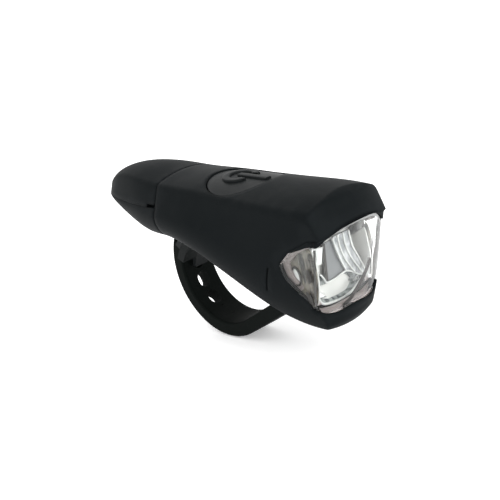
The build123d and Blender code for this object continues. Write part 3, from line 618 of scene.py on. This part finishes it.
def sweep_round(shape: bmesh.types.BMesh, path: Sequence[Vector], radius: float,
                closed: bool = False) -> None:
    """Sweeps a round section along a path, in millimetres.

    Args:
        shape: Mesh that takes the rod.
        path: Points of the rod's middle line.
        radius: Radius of the section.
        closed: Whether the path is a loop.
    """
    rings = []
    count = len(path)
    for index, point in enumerate(path):
        ahead = path[(index + 1) % count] if closed or index < count - 1 else point
        behind = path[index - 1] if closed or index > 0 else point
        along = (ahead - behind).normalized()
        across = along.cross(ROD_GUIDE).normalized()
        other = along.cross(across)
        turns = [2 * math.pi * side / ROD_SIDES for side in range(ROD_SIDES)]
        spokes = [across * math.cos(turn) + other * math.sin(turn) for turn in turns]
        rings.append([shape.verts.new((point + radius * spoke) * MM) for spoke in spokes])
    for index in range(count if closed else count - 1):
        join_rings(shape, rings[index], rings[(index + 1) % count])
    if not closed:
        shape.faces.new(rings[0])
        shape.faces.new(reversed(rings[-1]))


def fill_sheet(shape: bmesh.types.BMesh, rows: Sequence[Sequence[Vector]], back: Point) -> None:
    """Fills a thin curved sheet from rows of points, in millimetres.

    Args:
        shape: Mesh that takes the sheet.
        rows: Rows of equally many points across the front of the sheet.
        back: Step from the front of the sheet to its back.
    """
    front = [[shape.verts.new(point * MM) for point in row] for row in rows]
    rear = [[shape.verts.new((point + Vector(back)) * MM) for point in row] for row in rows]
    height, width = len(rows), len(rows[0])
    for row in range(height - 1):
        for column in range(width - 1):
            for face in (front, rear):
                shape.faces.new((face[row][column], face[row][column + 1], face[row + 1][column + 1],
                                 face[row + 1][column]))
    rim = [(0, column) for column in range(width)]
    rim += [(row, width - 1) for row in range(1, height)]
    rim += [(height - 1, column) for column in range(width - 2, -1, -1)]
    rim += [(row, 0) for row in range(height - 2, 0, -1)]
    for here, there in zip(rim, rim[1:] + rim[:1]):
        shape.faces.new((front[here[0]][here[1]], front[there[0]][there[1]], rear[there[0]][there[1]],
                         rear[here[0]][here[1]]))


@dataclass
class LensOptics:
    """Moulded optics behind the lens: wall, panel, bands, scoop, corner blocks and thick sides.

    Heights and widths are in millimetres, as (across, height) places, and depths are along the beam.
    """

    wall_axis_x: float = 24.0
    wall_radius: float = 19.0
    wall_half_angle: float = 33.0
    wall_low: float = 0.6
    wall_high: float = 20.2
    panel_x: float = 43.4
    panel: Tuple[Place, ...] = ((-3.0, 15.9), (-0.2, 15.9), (3.5, 6.0), (-4.1, 5.4))
    gap_strip: Tuple[Place, ...] = ((-4.1, 15.7), (-3.0, 15.8), (-4.0, 5.4), (-5.3, 6.2))
    block: Tuple[Place, ...] = ((-6.9, 15.8), (-4.3, 15.4), (-5.6, 11.2), (-7.4, 11.3))
    block_x: float = 44.0
    band_x: float = 44.2
    bands: Tuple[Tuple[Place, ...], ...] = (
        ((-0.4, 16.6), (0.4, 13.0), (1.6, 9.6), (2.9, 6.3)),
        ((1.2, 16.9), (1.6, 13.3), (3.0, 9.4), (5.6, 5.0)),
        ((3.0, 17.1), (3.3, 13.6), (4.9, 9.4), (8.6, 3.2)),
        ((4.9, 17.2), (5.5, 12.6), (7.2, 8.8), (9.8, 2.4)),
    )
    band_step: float = 0.35
    rim_radius: float = 0.24
    scoop_x: float = 44.0
    scoop_bowl: float = 3.6
    scoop_outer: Tuple[Place, ...] = ((-8.0, 9.0), (-8.6, 5.5), (-8.6, 2.2), (-6.8, 0.3), (-1.1, -0.5),
                                      (3.4, -0.1), (7.4, 1.6), (9.6, 2.6))
    scoop_top: Tuple[Place, ...] = ((-8.0, 9.0), (-6.7, 8.5), (-5.5, 6.7), (-4.8, 5.7), (-1.6, 5.6),
                                    (3.1, 6.1), (6.8, 4.0), (9.6, 2.6))
    side_face_y: float = 11.7
    side_outline: Tuple[Place, ...] = ((37.6, 12.4), (40.0, 16.2), (45.6, 17.2), (46.6, 11.0), (46.0, 5.0),
                                       (44.4, 1.2), (40.8, 3.4), (38.0, 8.6))
    lining_y: float = 10.3
    dark_band: Tuple[Point, ...] = ((47.6, 7.9, 8.7), (47.5, 6.5, 6.3), (47.6, 3.4, 3.6), (47.3, -0.6, 0.5),
                                    (47.2, -3.6, -0.6))
    dark_band_step: Point = (-0.25, 1.0, -0.8)
    corner_line: Tuple[Point, ...] = ((49.8, 13.1, 18.0), (48.4, 12.7, 12.3), (47.0, 12.3, 6.6),
                                      (45.8, 11.8, 1.8))
    corner_line_radius: float = 0.26
    shade_y: float = 12.3
    shades: Tuple[Tuple[Place, ...], ...] = (
        ((45.0, 12.0), (45.8, 11.8), (46.3, 10.2), (45.9, 8.6), (45.2, 8.4), (44.9, 10.0)),
        ((43.6, 5.7), (44.9, 5.1), (45.4, 2.6), (45.0, 1.6), (44.3, 2.8)),
    )
    oval_x: float = 40.9
    oval_height: float = 9.7
    oval_half_length: float = 1.05
    oval_half_height: float = 2.0
    oval_lean: float = -0.12
    oval_steps: int = 28
    boss_proud: float = 0.15
    boss_rings: Tuple[Place, ...] = ((1.0, 0.0), (0.7, 0.12), (0.35, 0.2))
    boss_ring_gap: float = 0.35
    boss_ring_radius: float = 0.38
    wall_steps: int = 12
    wall_thickness: float = 0.8
    plate_rows: int = 8
    plate_columns: int = 6
    plate_thickness: float = 0.7
    band_points: int = 25
    band_lean: float = 0.05
    band_depth: float = 0.2
    band_thickness: float = 0.6
    scoop_points: int = 41
    scoop_rows: int = 12
    scoop_thickness: float = 0.5
    outer_rim_share: float = 1.5
    dark_band_thickness: float = 0.3
    side_thickness: float = 1.2
    lining_thickness: float = 0.4
    shade_thickness: float = 0.12
    loop_steps: int = 5
    edge_steps: int = 6
    curve_steps: int = 8

    def build(self) -> List[bpy.types.Object]:
        """Makes every piece of the optics.

        Returns:
            The pieces, which all ride on the light.
        """
        pieces = [
            self._piece("optic_wall", self._wall, PALE_WALL),
            self._piece("optic_panel", partial(self._plate, self.panel, self.panel_x), GREY_PANEL),
            self._piece("optic_gap_strip",
                        partial(self._plate, self.gap_strip, self.panel_x + self.band_step), DARK_GAP_AND_SHADE),
            self._piece("optic_corner_block", partial(self._plate, self.block, self.block_x), RIM_BRIGHT),
            self._piece("optic_bands", self._bands, BAND_GREY),
            self._piece("optic_band_ribs", self._band_ribs, RIM_BRIGHT),
            # scoop: its reflections and highlights are painted streaks
            self._piece("optic_scoop", self._scoop, SCOOP_PAINTED_REFLECTION),
            self._piece("optic_scoop_rim", self._scoop_rim, RIM_BRIGHT),
            self._piece("optic_dark_band", self._dark_band, DARK_GAP_AND_SHADE),
        ]
        for side, word in SIDES:
            block = partial(self._side, side, self.side_face_y, self.side_thickness)
            lining = partial(self._side, side, self.lining_y, self.lining_thickness)
            pieces += [
                self._piece(f"optic_side_{word}", block, SIDE_BLOCK),
                self._piece(f"optic_lining_{word}", lining, PALE_WALL),
                self._piece(f"optic_boss_{word}", partial(self._boss, side), RIM_BRIGHT),
                self._piece(f"optic_boss_ring_{word}", partial(self._boss_ring, side), DARK_GAP_AND_SHADE),
                self._piece(f"optic_corner_line_{word}", partial(self._corner_line, side), CORNER_GREY),
                # painted shade: dark spots in the side window
                self._piece(f"optic_side_shade_{word}", partial(self._side_shade, side), DARK_GAP_AND_SHADE),
            ]
        return pieces

    @staticmethod
    def _piece(name: str, build: Callable[[bmesh.types.BMesh], None], finish: Finish) -> bpy.types.Object:
        """Makes one piece of the optics on the light."""
        return mesh_piece(name, build, finish, Body.LIGHT)

    def _wall(self, shape: bmesh.types.BMesh) -> None:
        """Fills the curved wall that closes the optics at the back.

        Args:
            shape: Mesh that takes the wall.
        """
        rows = []
        for height in (self.wall_low, (self.wall_low + self.wall_high) / 2, self.wall_high):
            turns = [math.radians(self.wall_half_angle) * step / self.wall_steps
                     for step in range(-self.wall_steps, self.wall_steps + 1)]
            rows.append([turned(self.wall_axis_x, self.wall_radius, turn, height) for turn in turns])
        fill_sheet(shape, rows, (-self.wall_thickness, 0.0, 0.0))

    def _plate(self, outline: Sequence[Place], depth: float, shape: bmesh.types.BMesh) -> None:
        """Fills a four-cornered plate.

        Args:
            outline: Corners, from the top left on towards the top right.
            depth: Place of its front along the beam.
            shape: Mesh that takes the plate.
        """
        corners = [Vector((depth, across, height)) for across, height in outline]
        rows = []
        for row in range(self.plate_rows + 1):
            left = corners[0].lerp(corners[3], row / self.plate_rows)
            right = corners[1].lerp(corners[2], row / self.plate_rows)
            rows.append([left.lerp(right, column / self.plate_columns)
                         for column in range(self.plate_columns + 1)])
        fill_sheet(shape, rows, (-self.plate_thickness, 0.0, 0.0))

    def _band_paths(self) -> List[List[Vector]]:
        """Runs the middle lines of the ribs between the bands.

        Returns:
            One line for each rib, with equally many points.
        """
        paths = []
        for index, band in enumerate(self.bands):
            depth = self.band_x + index * self.band_step
            knots = [(depth - self.band_lean * step, across, height)
                     for step, (across, height) in enumerate(band)]
            paths.append(even_path(smooth_path(knots, self.curve_steps), self.band_points))
        return paths

    def _bands(self, shape: bmesh.types.BMesh) -> None:
        """Fills the bands between the ribs.

        Args:
            shape: Mesh that takes the bands.
        """
        paths = self._band_paths()
        rows = [[path[row] - Vector((self.band_depth, 0.0, 0.0)) for path in paths]
                for row in range(self.band_points)]
        fill_sheet(shape, rows, (-self.band_thickness, 0.0, 0.0))

    def _band_ribs(self, shape: bmesh.types.BMesh) -> None:
        """Sweeps the bright ribs."""
        for path in self._band_paths():
            sweep_round(shape, path, self.rim_radius)

    def _scoop_edges(self) -> Tuple[List[Vector], List[Vector]]:
        """Runs the scoop's two edges.

        Returns:
            The outer edge and the top edge, with equally many points.
        """
        edges = []
        for outline in (self.scoop_outer, self.scoop_top):
            knots = [(self.scoop_x, across, height) for across, height in outline]
            edges.append(even_path(smooth_path(knots, self.edge_steps), self.scoop_points))
        return edges[0], edges[1]

    def _scoop(self, shape: bmesh.types.BMesh) -> None:
        """Fills the scoop's hollow.

        Args:
            shape: Mesh that takes the scoop.
        """
        outer, top = self._scoop_edges()
        last = self.scoop_points - 1
        rows = []
        for row in range(self.scoop_rows + 1):
            share = row / self.scoop_rows
            line = []
            for index in range(1, last):
                hollow = self.scoop_bowl * math.sin(math.pi * share) * math.sin(math.pi * index / last)
                line.append(outer[index].lerp(top[index], share) - Vector((hollow, 0.0, 0.0)))
            rows.append(line)
        fill_sheet(shape, rows, (-self.scoop_thickness, 0.0, 0.0))

    def _scoop_rim(self, shape: bmesh.types.BMesh) -> None:
        """Sweeps the bright rim round the scoop.

        Args:
            shape: Mesh that takes the rim.
        """
        outer, top = self._scoop_edges()
        sweep_round(shape, outer, self.outer_rim_share * self.rim_radius)
        sweep_round(shape, top[2:-2], self.rim_radius)

    def _dark_band(self, shape: bmesh.types.BMesh) -> None:
        """Fills the dark band along the lower edge on the left.

        Args:
            shape: Mesh that takes the band.
        """
        path = smooth_path(self.dark_band, self.curve_steps)
        step = Vector(self.dark_band_step)
        fill_sheet(shape, [path, [point + step for point in path]], (-self.dark_band_thickness, 0.0, 0.0))

    def _corner_line(self, side: float, shape: bmesh.types.BMesh) -> None:
        """Sweeps the grey line down the lens's corner.

        Args:
            side: -1 for the right, 1 for the left.
            shape: Mesh that takes the line.
        """
        points = [(place, side * across, height) for place, across, height in self.corner_line]
        sweep_round(shape, smooth_path(points, self.edge_steps), self.corner_line_radius)

    def _upright_slab(self, shape: bmesh.types.BMesh, outline: Sequence[Place], side: float, face: float,
                      thickness: float) -> None:
        """Fills a slab that stands along the beam.

        Args:
            shape: Mesh that takes the slab.
            outline: Places along the beam and heights.
            side: -1 for the right, 1 for the left.
            face: Distance of its outer face from the middle.
            thickness: Thickness towards the middle.
        """
        loop = smooth_path(outline, self.loop_steps, closed=True)
        near, far = ([Vector((place.x, side * across, place.y)) for place in loop]
                     for across in (face, face - thickness))
        fill_slab(shape, near, far)

    def _side_shade(self, side: float, shape: bmesh.types.BMesh) -> None:
        """Fills the dark spots in a side window: painted shade, as thin dark slabs."""
        for outline in self.shades:
            self._upright_slab(shape, outline, side, self.shade_y, self.shade_thickness)

    def _side(self, side: float, face: float, thickness: float, shape: bmesh.types.BMesh) -> None:
        """Fills a block behind a side window."""
        self._upright_slab(shape, self.side_outline, side, face, thickness)

    def _oval_path(self, side: float, growth: float) -> List[Vector]:
        """Runs the oval line round the boss.

        Args:
            side: -1 for the right, 1 for the left.
            growth: How far the line lies outside the boss.

        Returns:
            The points of the line.
        """
        path = []
        for step in range(self.oval_steps):
            turn = 2 * math.pi * step / self.oval_steps
            height = (self.oval_half_height + growth) * math.sin(turn)
            place = (self.oval_half_length + growth) * math.cos(turn) + self.oval_lean * height
            path.append(Vector((self.oval_x + place, side * (self.side_face_y + self.boss_proud),
                                self.oval_height + height)))
        return path

    def _boss(self, side: float, shape: bmesh.types.BMesh) -> None:
        """Fills the oval boss's bright face as a low dome.

        Args:
            side: -1 for the right, 1 for the left.
            shape: Mesh that takes the face.
        """
        rings = []
        for share, rise in self.boss_rings:
            face = self.side_face_y + self.boss_proud + rise
            middle = Vector((self.oval_x, side * face, self.oval_height))
            flat = [Vector((point.x, middle.y, point.z)) for point in self._oval_path(side, 0.0)]
            rings.append([shape.verts.new(middle.lerp(point, share) * MM) for point in flat])
        for ring, following in zip(rings, rings[1:]):
            join_rings(shape, ring, following)
        shape.faces.new(rings[-1])
        shape.faces.new(reversed(rings[0]))

    def _boss_ring(self, side: float, shape: bmesh.types.BMesh) -> None:
        """Sweeps the dark ring round the boss."""
        sweep_round(shape, self._oval_path(side, self.boss_ring_gap), self.boss_ring_radius, closed=True)


def node_surface(*names: str) -> BVHTree:
    """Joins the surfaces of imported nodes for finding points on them.

    Args:
        names: Names of the nodes.

    Returns:
        A search tree over all their faces, in metres.
    """
    corners, faces = [], []
    for name in names:
        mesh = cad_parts[name].data
        first = len(corners)
        corners.extend(vertex.co.copy() for vertex in mesh.vertices)
        faces.extend([first + index for index in face.vertices] for face in mesh.polygons)
    return BVHTree.FromPolygons(corners, faces)


@dataclass
class LensSurround:
    """Soft lip of the shell that hangs a little over the lens's upper corners, in millimetres."""

    axis_x: float = 24.0
    top_reach: float = 30.3
    bottom_reach: float = 24.8
    top_height: float = 22.5
    bottom_height: float = -1.0
    corner_height: float = 20.0
    corner_half_width: float = 13.1
    proud: float = 0.56
    lap: float = 0.4
    droop: float = 1.45
    droop_start: float = 5.0
    droop_power: float = 2.4
    middle_droop: float = -0.28
    far_droop: float = 0.9
    rim_depth: float = 0.25
    rim_widths: Tuple[float, float] = (0.35, 0.9)
    half_angle: float = 29.0
    thickness: float = 0.6
    window_top: Tuple[Place, ...] = ((41.9, 16.9), (45.0, 18.3), (48.2, 19.8), (50.0, 20.0), (50.6, 20.0))
    window_droops: Tuple[float, ...] = (0.02, 0.5, 0.95, 1.15, 1.2)
    skin_rise: float = 0.10
    skin_reach: float = 40.0
    skin_margin: float = 1.5
    half_steps: int = 24
    flank_steps: int = 6
    rim_angle_share: float = 0.96
    rim_lap: float = 0.1
    rim_thickness: float = 0.15

    def build(self) -> List[bpy.types.Object]:
        """Makes the front lip and the two side lips.

        Returns:
            The pieces, which ride on the light.
        """
        surface = node_surface("lens", "main_housing")
        front = partial(self._front, surface)
        pieces = [mesh_piece("lens_lip_front", front, SOFT_SHELL, Body.LIGHT)]
        pieces.append(mesh_piece("lens_top_rim", self._rim, TOP_RIM_GREY, Body.LIGHT))
        for side, word in SIDES:
            pieces.append(mesh_piece(f"lens_lip_{word}", partial(self._flank, surface, side), SOFT_SHELL,
                                     Body.LIGHT))
        return pieces

    def _reach(self, height: float) -> float:
        """Reach of the lens's outer face from its upright axis at one height."""
        rake = (self.top_reach - self.bottom_reach) / (self.top_height - self.bottom_height)
        return self.bottom_reach + rake * (height - self.bottom_height)

    @staticmethod
    def _skin(surface: BVHTree, start: Vector, side: float) -> float:
        """Finds the half width of the light's skin.

        Args:
            surface: Search tree of the skin.
            start: Point outside the skin, in millimetres.
            side: -1 for the right, 1 for the left.

        Returns:
            The half width, or 0 where there is no skin.
        """
        hit = surface.ray_cast(start * MM, Vector((0.0, -side, 0.0)))[0]
        return abs(hit.y) / MM if hit is not None else 0.0

    def _edge(self, across: float) -> Tuple[float, float]:
        """Finds the lens's top edge at one place across it.

        Args:
            across: Distance from the middle, positive to the left.

        Returns:
            The height of the edge, and how far the lip hangs below it.
        """
        share = min(1.0, abs(across) / self.corner_half_width)
        edge = self.corner_height + (self.top_height - self.corner_height) * (1.0 - share ** 2)
        stretch = self.corner_half_width - self.droop_start
        beyond = min(1.0, max(0.0, abs(across) - self.droop_start) / stretch)
        droop = self.middle_droop + self.droop * beyond ** self.droop_power
        if across > 0.0:
            droop += self.far_droop * beyond
        return edge, droop

    def _rim(self, shape: bmesh.types.BMesh) -> None:
        """Fills the grey rim that shows just under the lip.

        Args:
            shape: Mesh that takes the rim.
        """
        rows: List[List[Vector]] = [[], [], []]
        near, far = self.rim_widths
        for step in range(-self.half_steps, self.half_steps + 1):
            turn = self.rim_angle_share * math.radians(self.half_angle) * step / self.half_steps
            edge, droop = self._edge((self._reach(self.corner_height) + self.proud) * math.sin(turn))
            width = near + (far - near) * (step + self.half_steps) / (2 * self.half_steps)
            low = edge - max(droop, 0.0)
            for row, height in enumerate((low + self.rim_lap, low - width / 2, low - width)):
                reach = self._reach(height) - self.rim_depth
                rows[row].append(turned(self.axis_x, reach, turn, height))
        fill_sheet(shape, rows, (-self.rim_thickness, 0.0, 0.0))

    def _front(self, surface: BVHTree, shape: bmesh.types.BMesh) -> None:
        """Fills the lip over the lens's top edge.

        Args:
            surface: Search tree of the lens and the housing.
            shape: Mesh that takes the lip.
        """
        rows: List[List[Vector]] = [[], [], []]
        for step in range(-self.half_steps, self.half_steps + 1):
            turn = math.radians(self.half_angle) * step / self.half_steps
            edge, droop = self._edge((self._reach(self.corner_height) + self.proud) * math.sin(turn))
            for row, height in enumerate((edge + self.lap, edge - droop / 2, edge - droop)):
                reach = self._reach(height) + self.proud
                point = turned(self.axis_x, reach, turn, height)
                if abs(point.y) > self.corner_half_width - self.skin_margin:
                    side = math.copysign(1.0, point.y)
                    start = Vector((point.x - self.thickness, side * self.skin_reach, point.z))
                    skin = self._skin(surface, start, side)
                    if skin > 0.0:
                        point.y = side * min(abs(point.y), skin + self.skin_rise)
                rows[row].append(point)
        fill_sheet(shape, rows, (-self.thickness, 0.0, 0.0))

    def _flank(self, surface: BVHTree, side: float, shape: bmesh.types.BMesh) -> None:
        """Fills the lip over a side window's top edge.

        Args:
            surface: Search tree of the lens and the housing.
            side: -1 for the right, 1 for the left.
            shape: Mesh that takes the lip.
        """
        last = len(self.window_top) - 1
        extra = self.far_droop if side > 0.0 else 0.0
        edge = [Vector((place, height, droop + extra * (index / last) ** 3))
                for index, ((place, height), droop) in enumerate(zip(self.window_top, self.window_droops))]
        rows: List[List[Vector]] = [[], [], []]
        for knot in smooth_path(edge, self.flank_steps):
            for row, height in enumerate((knot.y + self.lap, knot.y - knot.z / 2, knot.y - knot.z)):
                skin = self._skin(surface, Vector((knot.x, side * self.skin_reach, height)), side)
                rows[row].append(Vector((knot.x, side * (skin + self.skin_rise), height)))
        fill_sheet(shape, rows, (0.0, -side * self.thickness, 0.0))


@dataclass
class ButtonSymbol:
    """Raised power sign on the button: a ring with an opening and a bar, in millimetres."""

    centre_x: float = 12.5
    radius: float = 4.3
    opening_angle: float = 40.0
    bar_start: float = 12.2
    bar_end: float = 23.4
    half_width: float = 1.12
    soft: float = 0.4
    rise: float = 0.07
    depth: float = 0.8
    ring_steps: int = 48
    bar_steps: int = 20
    search_height: float = 60.0
    deepest: float = 1.0
    soft_share: float = 0.3

    def build(self) -> bpy.types.Object:
        """Makes the sign.

        Returns:
            The piece, which rides on the button.
        """
        return mesh_piece("button_sign", self._fill, BUTTON_RUBBER, Body.BUTTON)

    def _fill(self, shape: bmesh.types.BMesh) -> None:
        """Sweeps the ring and the bar.

        Args:
            shape: Mesh that takes the sign.
        """
        surface = node_surface("power_button")
        ring = []
        for step in range(self.ring_steps + 1):
            swept = (360.0 - 2 * self.opening_angle) * step / self.ring_steps
            turn = math.radians(self.opening_angle + swept)
            ring.append((self.centre_x + self.radius * math.cos(turn), self.radius * math.sin(turn)))
        bar = [(self.bar_start + (self.bar_end - self.bar_start) * step / self.bar_steps, 0.0)
               for step in range(self.bar_steps + 1)]
        for line in (ring, bar):
            self._sweep(shape, [self._on_top(surface, place) for place in line])

    def _on_top(self, surface: BVHTree, place: Place) -> Vector:
        """Point on top of the button at one place."""
        start = Vector((*place, self.search_height)) * MM
        return surface.ray_cast(start, Vector((0.0, 0.0, -1.0)))[0] / MM

    def _sweep(self, shape: bmesh.types.BMesh, path: Sequence[Vector]) -> None:
        """Sweeps a soft-edged band along a path on the button.

        Args:
            shape: Mesh that takes the band.
            path: Points on top of the button.
        """
        wide, soft, bend = self.half_width, self.soft, self.soft_share * self.soft
        section = [(-wide, -self.depth), (-wide, -soft), (-wide + bend, -bend), (-wide + soft, 0.0),
                   (wide - soft, 0.0), (wide - bend, -bend), (wide, -soft), (wide, -self.depth)]
        floor = sum(point.z for point in path) / len(path) - self.deepest
        rings = []
        for index, point in enumerate(path):
            along = path[min(index + 1, len(path) - 1)] - path[max(index - 1, 0)]
            across = Vector((-along.y, along.x, 0.0)).normalized()
            top = max(point.z, floor) + self.rise
            rings.append([shape.verts.new((Vector((point.x, point.y, top + up)) + across * aside) * MM)
                          for aside, up in section])
        for ring, following in zip(rings, rings[1:]):
            join_rings(shape, ring, following)
        shape.faces.new(rings[0])
        shape.faces.new(reversed(rings[-1]))


@dataclass
class StrapFill:
    """Closes the strap's lowest hole, which the real strap lacks, in millimetres and degrees."""

    loop_x: float = 1.3016
    loop_z: float = 2.9234
    inner: float = 15.9
    outer: float = 20.2
    angle: float = 247.6
    half_length: float = 2.62
    half_width: float = 2.12
    proud: float = 0.012
    half_steps: int = 4

    def build(self) -> bpy.types.Object:
        """Makes the filling.

        Returns:
            The piece, which rides on the light.
        """
        return mesh_piece("strap_filling", self._fill, STRAP_RUBBER, Body.LIGHT)

    def _fill(self, shape: bmesh.types.BMesh) -> None:
        """Fills a short stretch of the loop.

        Args:
            shape: Mesh that takes the filling.
        """
        reach = math.degrees(self.half_length / ((self.inner + self.outer) / 2))
        section = []
        for radius, order in ((self.inner - self.proud, 1), (self.outer + self.proud, -1)):
            for step in range(2 * self.half_steps + 1):
                turn = math.radians(self.angle + order * reach * (step / self.half_steps - 1.0))
                section.append((self.loop_x + radius * math.cos(turn), self.loop_z + radius * math.sin(turn)))
        near, far = ([Vector((place, across, height)) for place, height in section]
                     for across in (-self.half_width, self.half_width))
        fill_slab(shape, near, far)


@dataclass(frozen=True)
class Lamp:
    """Soft square lamp: its name, its place and size in metres, and its power in watts."""

    name: str
    place: Point
    size: float
    power: float


@dataclass
class Studio:
    """Pale floor, soft lamps and the camera."""

    eye: Point = (0.22504, -0.18547, 0.09921)
    right: Point = (0.68459944, 0.70813987, -0.1728049)
    up: Point = (-0.10669536, 0.33186787, 0.93727254)
    back: Point = (0.72106845, -0.62321878, 0.30275179)
    focal_length: float = 74.22
    floor_size: float = 60.0
    floor_gap: float = 0.0004
    world_strength: float = 1.30
    lamps: Tuple[Lamp, ...] = (
        Lamp("key lamp", (0.10, -0.25, 0.55), 0.45, 0.4),
        Lamp("side lamp", (0.55, 0.05, 0.25), 0.40, 1.6),
        Lamp("rear lamp", (-0.45, 0.20, 0.40), 0.40, 0.25),
    )

    def build(self) -> None:
        """Makes the floor, the lamps, the sky and the camera."""
        self._floor()
        self._sky()
        for lamp in self.lamps:
            self._place(lamp)
        self._camera()

    def _floor(self) -> None:
        """Makes the floor just under the lowest point."""
        low = CAD_BOX[0]
        half = self.floor_size / 2
        mesh = bpy.data.meshes.new("floor")
        height = low.z - self.floor_gap
        corners = [(-half, -half, height), (half, -half, height), (half, half, height), (-half, half, height)]
        mesh.from_pydata(corners, [], [(0, 1, 2, 3)])
        floor = bpy.data.objects.new("floor", mesh)
        bpy.context.scene.collection.objects.link(floor)
        mesh.materials.append(PALE_FLOOR.material())

    def _sky(self) -> None:
        """Lights the room with even white."""
        world = bpy.data.worlds.new("studio")
        bpy.context.scene.world = world
        world.use_nodes = True
        backdrop = world.node_tree.nodes["Background"]
        backdrop.inputs["Color"].default_value = (1.0, 1.0, 1.0, 1.0)
        backdrop.inputs["Strength"].default_value = self.world_strength

    @staticmethod
    def _place(wanted: Lamp) -> None:
        """Adds a lamp that looks at the light.

        Args:
            wanted: What the lamp is like.
        """
        data = bpy.data.lights.new(wanted.name, "AREA")
        data.size = wanted.size
        data.energy = wanted.power
        lamp = bpy.data.objects.new(wanted.name, data)
        lamp.location = wanted.place
        lamp.rotation_mode = "QUATERNION"
        lamp.rotation_quaternion = (-Vector(wanted.place)).to_track_quat("-Z", "Y")
        bpy.context.scene.collection.objects.link(lamp)

    def _camera(self) -> None:
        """Puts the camera where the photograph was taken from."""
        data = bpy.data.cameras.new("camera")
        data.lens = self.focal_length
        camera = bpy.data.objects.new("camera", data)
        turn = Matrix((self.right, self.up, self.back)).transposed().to_4x4()
        camera.matrix_world = Matrix.Translation(self.eye) @ turn
        bpy.context.scene.collection.objects.link(camera)
        bpy.context.scene.camera = camera


def main() -> None:
    """Builds the dressed headlight and its studio."""
    logging.basicConfig(level=logging.INFO, format="%(name)s: %(message)s")
    bpy.context.scene.view_settings.view_transform = "Standard"
    CadDress().dress()
    LensOptics().build()
    LensSurround().build()
    ButtonSymbol().build()
    StrapFill().build()
    Studio().build()


if __name__ == "__main__":
    main()
